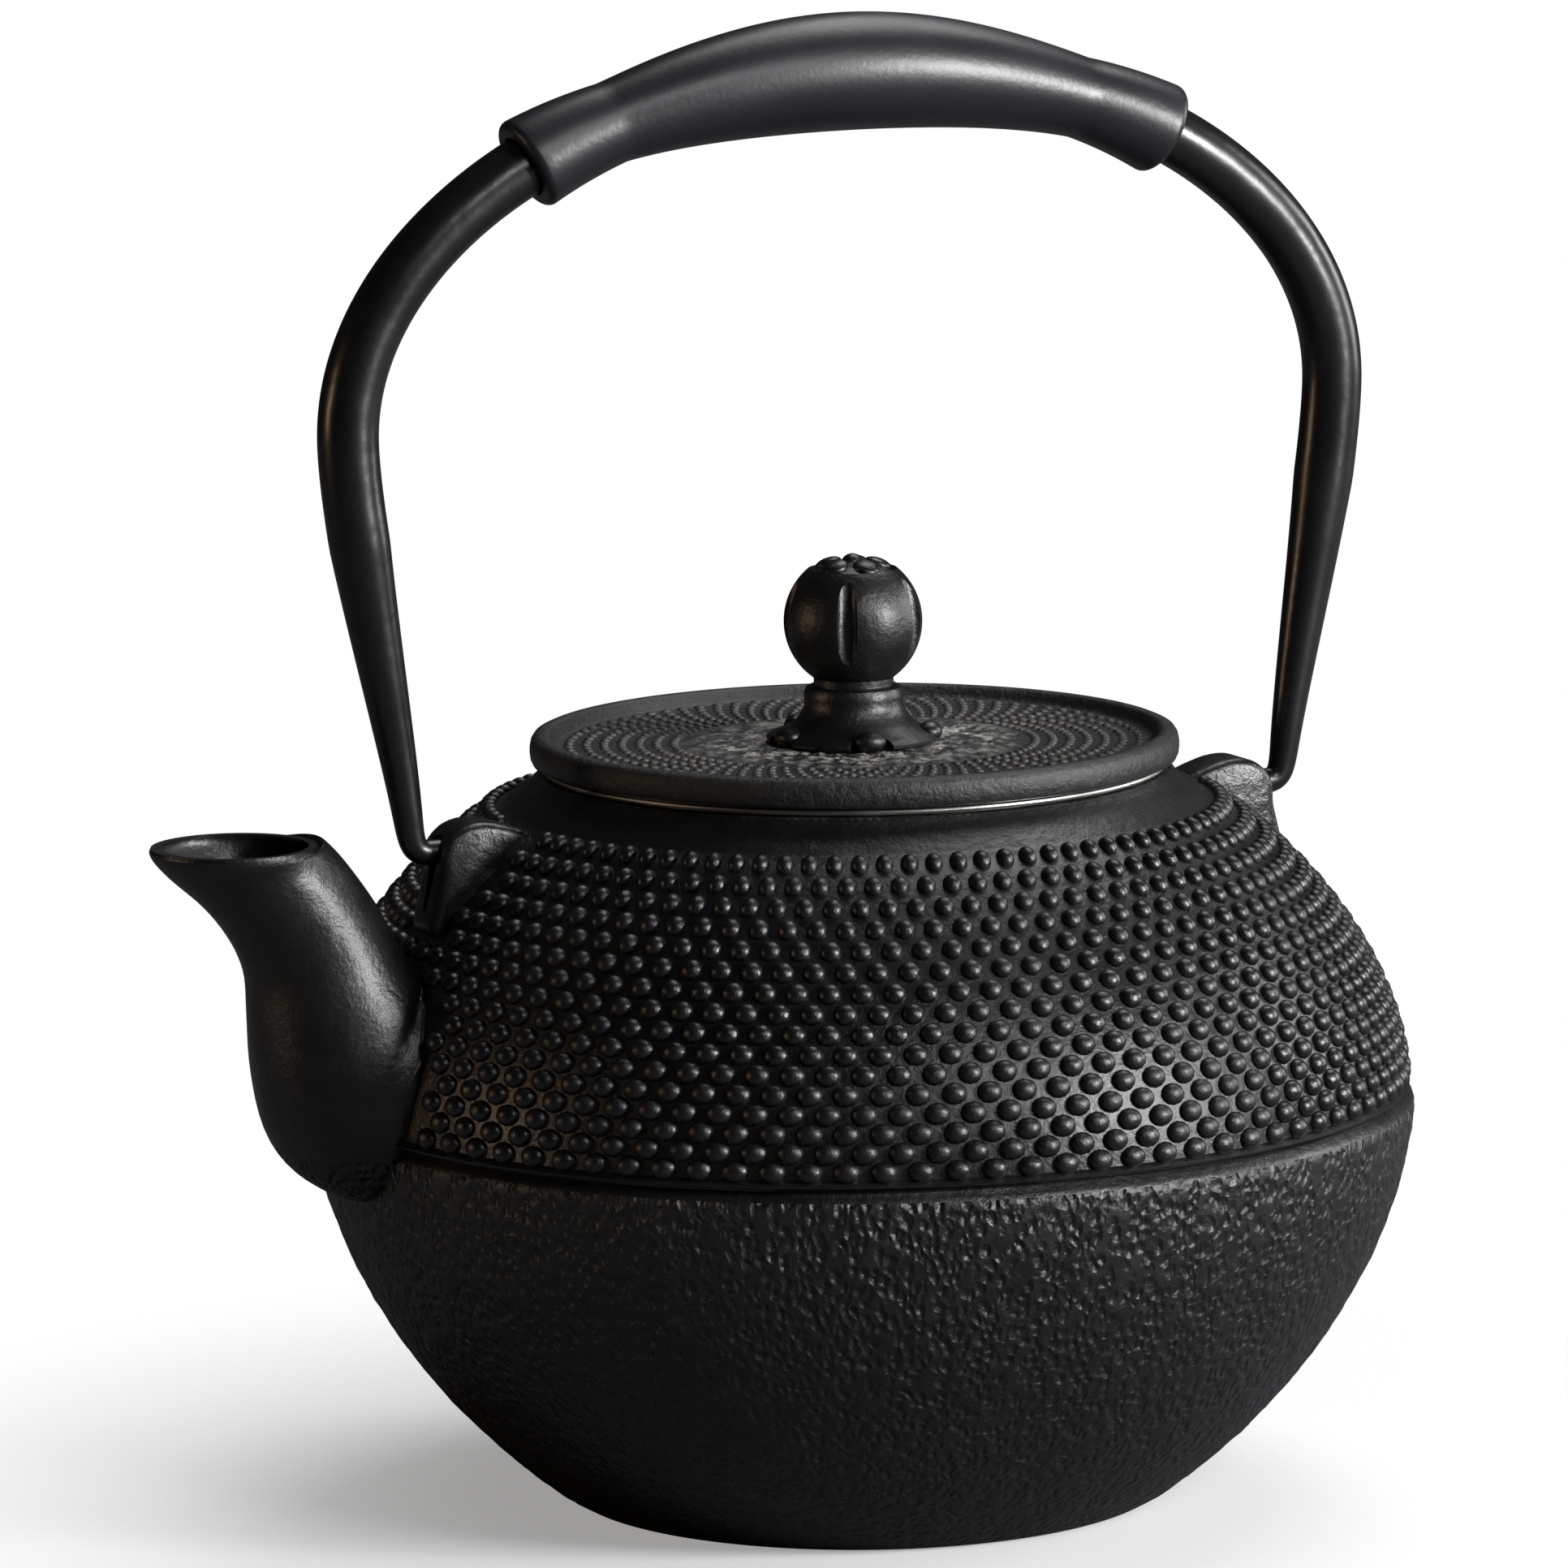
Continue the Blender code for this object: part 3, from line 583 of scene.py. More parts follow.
def cast_iron_material():
    """Black lacquer over sand-cast iron: dark charcoal, half dull, worn grey on the high edges."""
    material, tree, place = new_material("black lacquered cast iron")
    sand = add_node(tree, "TexNoise", {"Vector": place, "Scale": 1500.0, "Detail": 6.0, "Roughness": 0.6})
    coarse = add_node(tree, "TexNoise", {"Vector": place, "Scale": 260.0, "Detail": 5.0, "Roughness": 0.62})
    cloud = add_node(tree, "TexNoise", {"Vector": place, "Scale": 46.0, "Detail": 4.0})
    tone = add_node(tree, "ValToRGB", {"Fac": coarse}, stops=((0.30, "050505"), (0.74, "0f0f10")))
    edge = add_node(tree, "NewGeometry").outputs["Pointiness"]
    raised = add_node(tree, "MapRange", {"Value": edge, "From Min": 0.515, "From Max": 0.60})
    patchy = add_node(tree, "Math", {0: raised, 1: coarse}, operation="MULTIPLY")
    rubbed = add_node(tree, "MapRange", {
        "Value": patchy, "From Min": 0.40, "From Max": 0.85, "To Max": 0.55,
    })
    colour = add_node(tree, "Mix", {
        0: rubbed, 6: tone, 7: linear("5a5752"),
    }, data_type="RGBA")
    dull = add_node(tree, "MapRange", {
        "Value": cloud, "From Min": 0.3, "From Max": 0.7, "To Min": 0.30, "To Max": 0.44,
    })
    grain = add_node(tree, "Bump", {"Height": sand, "Strength": 0.55, "Distance": 0.00012})
    skin = add_node(tree, "Bump", {
        "Height": coarse, "Strength": 0.55, "Distance": 0.0005, "Normal": grain,
    })
    finish_material(tree, colour.outputs[2], dull, skin, {"Specular IOR Level": 0.55})
    return material


def mould_skin_material():
    """The lower half's leathery skin: the same lacquer in a network of ridges round small pits."""
    material, tree, place = new_material("black lacquered leathery cast iron")
    bend = add_node(tree, "TexNoise", {"Vector": place, "Scale": 240.0, "Detail": 3.0})
    shift = add_node(tree, "VectorMath", {0: bend.outputs["Color"], 1: (0.5, 0.5, 0.5)}, operation="SUBTRACT")
    warped = add_node(tree, "VectorMath", {0: shift, "Scale": 0.0022}, operation="SCALE")
    bent = add_node(tree, "VectorMath", {0: place, 1: warped}, operation="ADD")
    moved = add_node(tree, "VectorMath", {0: bent, 1: (1.0, 1.0, 0.62)}, operation="MULTIPLY")
    cells = add_node(tree, "TexVoronoi", {
        "Vector": moved, "Scale": 1.9 / SKIN_GRAIN, "Smoothness": 0.35,
    }, feature="SMOOTH_F1")
    pit = cells.outputs["Distance"]
    ridge = add_node(tree, "MapRange", {"Value": pit, "From Min": 0.1, "From Max": 0.62})
    sand = add_node(tree, "TexNoise", {"Vector": place, "Scale": 1300.0, "Detail": 6.0, "Roughness": 0.6})
    coarse = add_node(tree, "TexNoise", {"Vector": place, "Scale": 320.0, "Detail": 5.0, "Roughness": 0.65})
    tone = add_node(tree, "ValToRGB", {"Fac": coarse}, stops=((0.30, "050505"), (0.76, "101010")))
    dull = add_node(tree, "MapRange", {
        "Value": coarse, "From Min": 0.3, "From Max": 0.7, "To Min": 0.38, "To Max": 0.52,
    })
    grain = add_node(tree, "Bump", {"Height": sand, "Strength": 0.6, "Distance": 0.00014})
    lumps = add_node(tree, "Bump", {
        "Height": coarse, "Strength": 0.35, "Distance": 0.0007, "Normal": grain,
    })
    relief = add_node(tree, "Bump", {
        "Height": ridge, "Strength": 0.85, "Distance": 0.00055, "Normal": lumps,
    })
    finish_material(tree, tone, dull, relief, {"Specular IOR Level": 0.55})
    return material


def enamel_material():
    """Glass enamel baked on inside: wet black, with faint orange peel."""
    material, tree, place = new_material("glossy black enamel")
    peel = add_node(tree, "TexNoise", {"Vector": place, "Scale": 190.0, "Detail": 2.0})
    fine = add_node(tree, "TexNoise", {"Vector": place, "Scale": 60.0, "Detail": 4.0})
    tone = add_node(tree, "ValToRGB", {"Fac": fine}, stops=((0.0, "050505"), (1.0, "0f0f10")))
    relief = add_node(tree, "Bump", {"Height": peel, "Strength": 0.35, "Distance": 0.0004})
    finish_material(tree, tone, 0.09, relief)
    return material


def smooth(obj, degrees=32):
    only(obj)
    bpy.ops.object.shade_smooth_by_angle(angle=math.radians(degrees))


CAST_IRON = cast_iron_material()
pot_casting, spout_and_lugs = make_pot_casting()
pot_casting.data.materials.clear()
for finish in (CAST_IRON, mould_skin_material(), enamel_material()):
    pot_casting.data.materials.append(finish)
only(pot_casting)
bpy.ops.object.mode_set(mode="EDIT")
pick(pot_casting, lambda f: f.calc_center_median().z < SEAM_HEIGHT - 2.2 * MM, "FACE")
pot_casting.active_material_index = 1
bpy.ops.object.material_slot_assign()
pick(pot_casting, is_enamel, "FACE")
pot_casting.active_material_index = 2
bpy.ops.object.material_slot_assign()
bpy.ops.object.mode_set(mode="OBJECT")
smooth(pot_casting, 40)
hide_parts("pot_body")
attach(pot_casting, "pot")

# ----
# Hobnails. Rows of small rounded domes all over the shoulder, pressed one by one into the
# sand mould, so they are cast in one with the pot. Each row is staggered against the next,
# and none stands under the spout or the lugs.

NAILS_PER_RING = 96
NAIL_FIRST_HEIGHT = 63.6 * MM
NAIL_RING_PITCH = 2.65 * MM
NAIL_RINGS = 16


def lump(half_sizes, place, rotation, segments=24, rings=14):
    """A squashed ball at its place: the start of a nail, a bud, a petal or a hollow."""
    deselect()
    bpy.ops.mesh.primitive_uv_sphere_add(
        segments=segments, ring_count=rings, radius=1.0, location=place, rotation=rotation, scale=half_sizes,
    )
    bpy.ops.object.transform_apply()
    return bpy.context.object


def nail_ring(radius, height, lean, across, along, rise, count, turn):
    """One dome at radius and height, its axis leaning up by lean, then spun round into a ring."""
    out = Vector((math.cos(lean), 0.0, math.sin(lean)))
    base = Vector((radius, 0.0, height))
    ring = lump((along / 2, across / 2, rise), base, (0.0, math.pi / 2 - lean, 0.0), 12, 8)
    open_mesh()
    bpy.ops.mesh.bisect(plane_co=base - 0.1 * rise * out, plane_no=out, clear_inner=True, use_fill=True)
    bpy.ops.mesh.select_all(action="SELECT")
    bpy.ops.transform.rotate(value=-turn, orient_axis="Z", center_override=(0.0, 0.0, 0.0))
    bpy.ops.mesh.spin(
        steps=count - 1, angle=math.tau * (count - 1) / count, center=(0.0, 0.0, 0.0),
        axis=(0.0, 0.0, 1.0), dupli=True,
    )
    bpy.ops.object.mode_set(mode="OBJECT")
    return ring


def make_shoulder_hobnails():
    rings = []
    for i in range(NAIL_RINGS):
        height = NAIL_FIRST_HEIGHT + i * NAIL_RING_PITCH
        radius = shoulder_radius(height) - NAIL_SINK
        drop = shoulder_radius(height + 0.2 * MM) - shoulder_radius(height - 0.2 * MM)
        lean = math.atan2(-drop, 0.4 * MM)
        pitch = math.tau * radius / NAILS_PER_RING
        length = 2.85 * MM + 0.15 * NAIL_RING_PITCH / math.cos(lean)
        turn = (i % 2) * math.pi / NAILS_PER_RING
        rings.append(nail_ring(radius, height, lean, 0.74 * pitch, length, NAIL_HEIGHT, NAILS_PER_RING, turn))
    nails = join("shoulder_hobnails", rings)
    bpy.ops.object.mode_set(mode="EDIT")
    pick(nails, lambda v: spout_and_lugs(v.co) < 0.35 * MM)
    bpy.ops.mesh.select_linked()
    bpy.ops.mesh.delete(type="VERT")
    close_mesh()
    return nails


hobnails = make_shoulder_hobnails()
hobnails.data.materials.append(CAST_IRON)
smooth(hobnails, 60)
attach(hobnails, "pot")

# ----
# Infuser. A lift-out basket of stainless sheet: a pressed ring that rests on the neck, a
# sleeve crimped into its collar, its holes not cut but painted dark as painted shade, and a
# plain pan pressed on as the bottom.

FLANGE_RADIUS = NECK_TOP_RADIUS - 0.9 * MM
SHEET = 0.6 * MM
COLLAR_RADIUS = NECK_BORE_RADIUS - 0.7 * MM
SLEEVE_RADIUS = 43.0 * MM
FLANGE_BOTTOM = NECK_TOP + 0.3 * MM
FLANGE_TOP = FLANGE_BOTTOM + 0.8 * MM
HOLE_PITCH = 1.6 * MM
rim_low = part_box("infuser_rim")[0]
sleeve_low, sleeve_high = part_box("infuser_sleeve")
pan_low, pan_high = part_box("infuser_base")


def steel_material(name, perforated):
    """Bright turned stainless: fine rings from the lathe, and in the sleeve rows of dark spots painted where
    punched holes would be, painted shade standing in for the openings.
    """
    material, tree, place = new_material(name)
    smear = add_node(tree, "TexNoise", {"Vector": place, "Scale": 90.0, "Detail": 4.0})
    rings = add_node(tree, "TexWave", {
        "Vector": place, "Scale": 700.0, "Distortion": 0.6, "Detail": 2.0,
    }, wave_type="RINGS", rings_direction="Z")
    dull = add_node(tree, "MapRange", {
        "Value": smear, "From Min": 0.3, "From Max": 0.7, "To Min": 0.30, "To Max": 0.44,
    })
    tone = add_node(tree, "ValToRGB", {"Fac": smear}, stops=((0.0, "b9b7b2"), (1.0, "dddbd7")))
    relief = add_node(tree, "Bump", {"Height": rings, "Strength": 0.22, "Distance": 0.00005})
    colour = tone
    # The holes are not cut: each is a dark painted spot, painted shade where an opening would be.
    if perforated:
        parts_of_place = add_node(tree, "SeparateXYZ", {0: place})
        angle = add_node(tree, "Math", {
            0: parts_of_place.outputs["Y"], 1: parts_of_place.outputs["X"],
        }, operation="ARCTAN2")
        around = add_node(tree, "Math", {
            0: angle, 1: round(math.tau * SLEEVE_RADIUS / HOLE_PITCH) / math.tau,
        }, operation="MULTIPLY")
        up = add_node(tree, "Math", {0: parts_of_place.outputs["Z"], 1: 1 / HOLE_PITCH}, operation="MULTIPLY")
        spots = []
        for line in (around, up):
            part = add_node(tree, "Math", {0: line}, operation="FRACT")
            middle = add_node(tree, "Math", {0: part, 1: 0.5}, operation="SUBTRACT")
            spots.append(add_node(tree, "Math", {0: middle, 1: 2.0}, operation="POWER"))
        far = add_node(tree, "Math", {0: spots[0], 1: spots[1]}, operation="ADD")
        hole = add_node(tree, "MapRange", {"Value": far, "From Min": 0.085, "From Max": 0.11})
        mixed = add_node(tree, "Mix", {
            0: hole, 6: linear("0c0c0c"), 7: tone,
        }, data_type="RGBA")
        colour = mixed.outputs[2]
    finish_material(tree, colour, dull, relief, {"Metallic": 1.0})
    return material


def make_infuser_ring():
    """A flange that lies on the neck, with a collar turned down inside it."""
    bore = COLLAR_RADIUS - SHEET
    foot = rim_low.z
    outline = [(bore, foot), (bore, FLANGE_BOTTOM), (bore + 0.15 * MM, FLANGE_TOP - 0.25 * MM)]
    outline += near(COLLAR_RADIUS, FLANGE_TOP, (0.1, 0.0))
    outline += near(FLANGE_RADIUS, FLANGE_TOP, (-0.45, 0.0), (-0.12, -0.13))
    outline += near(FLANGE_RADIUS, FLANGE_BOTTOM, (0.0, 0.40), (-0.15, 0.1), (-0.4, 0.0))
    outline += near(COLLAR_RADIUS, FLANGE_BOTTOM, (0.3, 0.0), (0.0, -0.3))
    outline += near(COLLAR_RADIUS, foot, (0.0, 0.2), (-0.2, 0.0))
    return turned("infuser_ring", outline + [outline[0]], 320)


def make_infuser_mesh():
    """The sleeve's plain sheet, up its inside and down its outside."""
    low = sleeve_low.z
    high = sleeve_high.z
    levels = [low] + stretch(low + 1.0 * MM, high - 1.0 * MM, 6) + [high]
    falling = [high] + stretch(high - 1.0 * MM, low + 1.0 * MM, 6) + [low]
    outline = [(SLEEVE_RADIUS - SHEET, height) for height in levels]
    outline += [(SLEEVE_RADIUS, height) for height in falling]
    return turned("infuser_mesh", outline + [outline[0]], 256)


def make_infuser_pan():
    """A shallow pan with a rolled edge and two stiffening rings in its floor."""
    reach = pan_high.x
    floor = pan_low.z
    top = pan_high.z
    inner = floor + SHEET
    rings = [(12.0, 0.0), (13.2, 0.5), (14.4, 0.0), (29.0, 0.0), (30.2, 0.5), (31.4, 0.0)]
    outline = [(0.0, floor)] + near(0.0, floor, *rings)
    outline += near(reach, floor, (-1.6, 0.0), (-0.5, 0.3), (0.0, 1.2))
    outline += near(reach, top, (0.0, -0.2), (-0.2, 0.0), (-0.5, 0.0))
    outline += [(reach - SHEET, top - 0.2 * MM), (reach - SHEET, floor + 1.4 * MM)]
    outline += near(reach, floor, (-1.2, 0.9)) + near(reach, inner, (-2.0, 0.0))
    outline += near(0.0, inner, *reversed(rings)) + [(0.0, inner)]
    return turned("infuser_pan", outline, 256)


TURNED_STEEL = steel_material("turned stainless steel", False)
HOLE_PAINTED_STEEL = steel_material("stainless steel with holes painted dark", True)
for piece, node, finish in (
    (make_infuser_ring(), "infuser_rim", TURNED_STEEL),
    (make_infuser_mesh(), "infuser_sleeve", HOLE_PAINTED_STEEL),
    (make_infuser_pan(), "infuser_base", TURNED_STEEL),
):
    piece.data.materials.append(finish)
    smooth(piece)
    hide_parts(node)
    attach(piece, "infuser")

# ----
# Lid. A cast iron plate with a raised bead round its edge and a skirt that drops into the
# infuser. Rows of low nails circle it inside the bead; the middle is rough, rubbed and pale.

lid_low, lid_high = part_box("lid")
LID_RADIUS = lid_high.x
LID_BOTTOM = FLANGE_TOP + 0.3 * MM
LID_FIELD = LID_BOTTOM + 2.6 * MM
LID_NAIL_HEIGHT = 0.42 * MM
LID_RINGS = 7
LID_RING_PITCH = 2.6 * MM
LID_NAILS_PER_RING = 84
SKIRT_RADIUS = 41.7 * MM
SKIRT_INSIDE = 39.3 * MM
ROUGH_FROM = 11 * MM
ROUGH_TO = 25.5 * MM
STEM_BORE = 2.8 * MM


def lid_material():
    """The pot's lacquer, wiped thin: whitish grey dust stays in the rough middle; the grey on the bead's
    edges and on the nails is partly rubbed wear and partly painted highlight.
    """
    material, tree, place = new_material("rubbed black lacquered cast iron")
    level = add_node(tree, "VectorMath", {0: place, 1: (1.0, 1.0, 0.0)}, operation="MULTIPLY")
    far = add_node(tree, "VectorMath", {0: level}, operation="LENGTH")
    middle = add_node(tree, "MapRange", {
        "Value": far.outputs["Value"], "From Min": 0.0185, "From Max": 0.0270, "To Min": 1.0, "To Max": 0.0,
    })
    sand = add_node(tree, "TexNoise", {"Vector": place, "Scale": 1500.0, "Detail": 6.0, "Roughness": 0.65})
    coarse = add_node(tree, "TexNoise", {"Vector": place, "Scale": 420.0, "Detail": 6.0, "Roughness": 0.7})
    dust = add_node(tree, "MapRange", {"Value": coarse, "From Min": 0.47, "From Max": 0.60})
    dusty = add_node(tree, "Math", {0: dust, 1: middle}, operation="MULTIPLY")
    some = add_node(tree, "Math", {0: dusty, 1: 0.95}, operation="MULTIPLY")
    # Grey on raised edges, read from pointiness: partly rubbed wear, partly painted highlight along the
    # bead's edges and on the nails.
    edge = add_node(tree, "NewGeometry").outputs["Pointiness"]
    raised = add_node(tree, "MapRange", {"Value": edge, "From Min": 0.525, "From Max": 0.60})
    patchy = add_node(tree, "Math", {0: raised, 1: coarse}, operation="MULTIPLY")
    thin = add_node(tree, "Math", {0: patchy, 1: 0.30}, operation="MULTIPLY")
    # Dust in the middle, and on the edges grey that is partly wear and partly painted highlight.
    rubbed = add_node(tree, "Math", {0: thin, 1: some}, operation="MAXIMUM")
    tone = add_node(tree, "ValToRGB", {"Fac": coarse}, stops=((0.3, "060606"), (0.75, "111111")))
    colour = add_node(tree, "Mix", {
        0: rubbed, 6: tone, 7: linear("a3a09a"),
    }, data_type="RGBA")
    dull = add_node(tree, "MapRange", {"Value": middle, "To Min": 0.42, "To Max": 0.62})
    grain = add_node(tree, "Bump", {"Height": sand, "Strength": 0.6, "Distance": 0.00014})
    skin = add_node(tree, "Bump", {
        "Height": coarse, "Strength": 0.75, "Distance": 0.0006, "Normal": grain,
    })
    finish_material(tree, colour.outputs[2], dull, skin, {"Specular IOR Level": 0.55})
    return material


def make_lid_plate():
    """Turned plate, its rough middle pushed out of true by the stippled sand of the mould."""
    top = lid_high.z
    under = LID_BOTTOM - 1.0 * MM
    skirt = lid_low.z
    outline = [(STEM_BORE, LID_FIELD + 0.2 * MM)]
    outline += [(radius, LID_FIELD - 0.1 * MM) for radius in stretch(5 * MM, LID_RADIUS - 4.6 * MM, 54)]
    outline += near(LID_RADIUS, LID_FIELD, (-3.9, 0.15), (-3.4, 0.75))
    outline += near(
        LID_RADIUS, top, (-2.9, -0.2), (-2.4, 0.0), (-1.3, 0.0), (-0.6, -0.3),
        (-0.2, -0.9), (-0.02, -1.8), (0.0, -2.6),
    )
    outline += near(LID_RADIUS, LID_BOTTOM, (-0.1, 0.9), (-0.4, 0.25), (-1.1, 0.0))
    outline += near(SKIRT_RADIUS, LID_BOTTOM, (0.2, 0.0), (0.0, -0.3))
    outline += near(SKIRT_RADIUS, skirt, (0.0, 0.5), (-0.5, 0.0))
    outline += near(SKIRT_INSIDE, skirt, (0.5, 0.0), (0.0, 0.5))
    outline += near(SKIRT_INSIDE, under, (0.0, -0.6), (-0.6, 0.0))
    outline += [(radius, under) for radius in stretch(36 * MM, 5 * MM, 8)]
    outline.append((STEM_BORE, under))
    plate = turned("lid_plate", outline + [outline[0]], 384)
    group = plate.vertex_groups.new(name="mould_skin")
    for vertex in plate.data.vertices:
        reach = vertex.co.xy.length
        if vertex.co.z > LID_FIELD - 0.2 * MM and ROUGH_FROM < reach < ROUGH_TO:
            fade = min(1.0, (reach - ROUGH_FROM) / (2 * MM), (ROUGH_TO - reach) / (1.5 * MM))
            group.add([vertex.index], max(0.0, fade), "REPLACE")
    stipple = bpy.data.textures.new("stippled_sand", "VORONOI")
    stipple.noise_scale = 2.0 * MM
    roughen(plate, "mould_skin", stipple, 0.9 * MM, 0.35)
    return plate


def make_lid_hobnails():
    rings = []
    count = LID_NAILS_PER_RING
    for i in range(LID_RINGS):
        radius = LID_RADIUS - 5.8 * MM - i * LID_RING_PITCH
        across = 0.56 * math.tau * radius / count
        turn = (i % 2) * math.pi / count
        rings.append(nail_ring(
            radius, LID_FIELD - 0.1 * MM, math.pi / 2, across, 1.5 * MM, LID_NAIL_HEIGHT, count, turn,
        ))
    return join("lid_hobnails", rings)


LID_IRON = lid_material()
lid_plate = make_lid_plate()
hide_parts("lid")
for piece in (lid_plate, make_lid_hobnails()):
    piece.data.materials.append(LID_IRON)
    smooth(piece, 50)
    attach(piece, "lid")

# ----
# Knob. A cast iron seat like an opened flower, held to the lid by a riveted stem, and on it
# a bud: a ball with five leaf-shaped grooves down its sides and five petals round its top.

seat_low, seat_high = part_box("knob_seat")
knob_low, knob_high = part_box("lid_knob")
KNOB_RADIUS = 10.3 * MM
KNOB_CENTRE = knob_high.z - KNOB_RADIUS
PETALS = 5
PETAL_TURN = CAMERA_SIDE - math.pi / 2
GROOVE_TURN = PETAL_TURN - math.radians(5)
ARCH_TURN = PETAL_TURN + math.radians(12)
FIFTH = math.tau / PETALS
GROOVE_RING_RADIUS = 26.6 * MM
GROOVE_RING_BACK = 15.9 * MM
GROOVE_DEPTH = 1.6 * MM


def polar(reach, turn, height):
    return (reach * math.cos(turn), reach * math.sin(turn), height)


def make_flower_seat():
    """A turned foot, its edge scooped into five petals by hollows between them."""
    foot = seat_low.z
    top = seat_high.z
    outline = [(STEM_BORE, foot)]
    outline += near(
        0.0, foot, (12.4, 0.0), (13.0, 0.25), (13.1, 0.7), (12.6, 1.1), (11.4, 1.5), (10.2, 2.0),
        (9.0, 2.8), (8.2, 3.7), (7.6, 4.7), (7.35, 5.5), (7.4, 6.4), (7.45, 7.2),
    )
    outline += near(0.0, top, (7.1, -0.35), (6.4, 0.0)) + [(STEM_BORE, top)]
    seat = turned("flower_seat", outline + [outline[0]], 200)
    for i in range(PETALS):
        turn = ARCH_TURN + i * FIFTH
        size = (4.6 * MM, 3.4 * MM, 4.2 * MM)
        hollow = lump(size, polar(13.6 * MM, turn, foot - 0.1 * MM), (0.0, 0.0, turn), 32, 20)
        combine(seat, hollow, "DIFFERENCE")
    return seat


def make_seat_buds():
    """A small round bud in each arch between two petals, cut flat where it meets the lid."""
    buds = []
    foot = seat_low.z
    for i in range(PETALS):
        turn = ARCH_TURN + i * FIFTH
        size = (2.0 * MM, 2.4 * MM, 1.6 * MM)
        buds.append(lump(size, polar(11.2 * MM, turn, foot + 1.2 * MM), (0.0, 0.0, turn)))
        open_mesh()
        bpy.ops.mesh.bisect(
            plane_co=(0.0, 0.0, foot), plane_no=(0.0, 0.0, 1.0), clear_inner=True, use_fill=True,
        )
        bpy.ops.object.mode_set(mode="OBJECT")
    return join("seat_buds", buds)


def make_bud_knob():
    """A turned ball with a low step on top, and five grooves cut down its sides by large rings."""
    low = knob_low.z
    neck = 5.95 * MM
    joint = KNOB_CENTRE - math.sqrt(KNOB_RADIUS ** 2 - neck ** 2)
    outline = [(0.0, low), (neck - 0.3 * MM, low), (neck, low + 0.2 * MM), (neck, joint - 0.1 * MM)]
    top_edge = math.acos(6.6 * MM / KNOB_RADIUS)
    for angle in stretch(math.asin((joint - KNOB_CENTRE) / KNOB_RADIUS), top_edge, 60):
        outline.append((KNOB_RADIUS * math.cos(angle), KNOB_CENTRE + KNOB_RADIUS * math.sin(angle)))
    step = KNOB_CENTRE + KNOB_RADIUS * math.sin(top_edge) - 0.55 * MM
    outline += near(0.0, step, (6.2, 0.0), (4.5, 0.9), (2.5, 1.5), (0.0, 1.8))
    knob = turned("bud_knob", outline, 240)
    for i in range(PETALS):
        turn = GROOVE_TURN + i * FIFTH
        deselect()
        bpy.ops.mesh.primitive_torus_add(
            major_segments=360, minor_segments=20,
            major_radius=GROOVE_RING_RADIUS, minor_radius=GROOVE_DEPTH,
            location=polar(-GROOVE_RING_BACK, turn, KNOB_CENTRE - 1.2 * MM),
            rotation=(math.pi / 2, 0.0, turn),
        )
        bpy.ops.object.transform_apply()
        combine(knob, bpy.context.object, "DIFFERENCE")
    return knob


def make_knob_petals():
    """Five rounded petals and a bump in the middle, half sunk in the knob's top."""
    crown = KNOB_CENTRE + 8.35 * MM
    petals = []
    for i in range(PETALS):
        turn = GROOVE_TURN + (i + 0.5) * FIFTH
        size = (2.1 * MM, 2.0 * MM, 0.95 * MM)
        petals.append(lump(size, polar(3.9 * MM, turn, crown), (0.0, math.radians(20), turn)))
    turn = GROOVE_TURN + (PETALS + 0.5) * FIFTH
    petals.append(lump((1.7 * MM, 1.7 * MM, 1.6 * MM), (0.0, 0.0, crown + 0.15 * MM), (0.0, 0.0, turn)))
    return join("knob_petals", petals)


flower_seat = make_flower_seat()
bud_knob = make_bud_knob()
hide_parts("knob_seat")
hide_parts("lid_knob")
for piece in (flower_seat, make_seat_buds(), bud_knob, make_knob_petals()):
    piece.data.materials.clear()
    piece.data.materials.append(CAST_IRON)
    smooth(piece, 35)
    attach(piece, "lid")
knob_washer = frame["nodes"]["knob_washer"]
knob_washer.data.materials.clear()
knob_washer.data.materials.append(TURNED_STEEL)

# ----
# Bail. A round steel bar bent to an arch, swaged thin towards its ends and hooked into the
# lugs, then painted semi-gloss black.

BAIL_RISE = 111.1 * MM
CROWN_HALF_LENGTH = 38.5 * MM
CROWN_DROP = 5.9 * MM
BAIL_WIDEST_RISE = 61.4 * MM
BAIL_HALF_WIDTH = LUG_REACH + 11.9 * MM
LEG_FOOT = (LUG_REACH + 3.6 * MM, HINGE_HEIGHT + 5.5 * MM)
HOOK_BEND = LUG_REACH - 0.2 * MM
HOOK_TIP = LUG_REACH - 6.4 * MM
ROD_RADIUS = 4.5 * MM
HOOK_RADIUS = 1.9 * MM
TAPER_RISE = 46 * MM


def bezier(start, start_handle, end_handle, end, count):
    points = []
    for t in stretch(0.0, 1.0, count):
        weights = ((1 - t) ** 3, 3 * t * (1 - t) ** 2, 3 * t ** 2 * (1 - t), t ** 3)
        handles = (start, start_handle, end_handle, end)
        across, up = (sum(w * p[axis] for w, p in zip(weights, handles)) for axis in (0, 1))
        points.append(Vector((across, 0.0, up)))
    return points


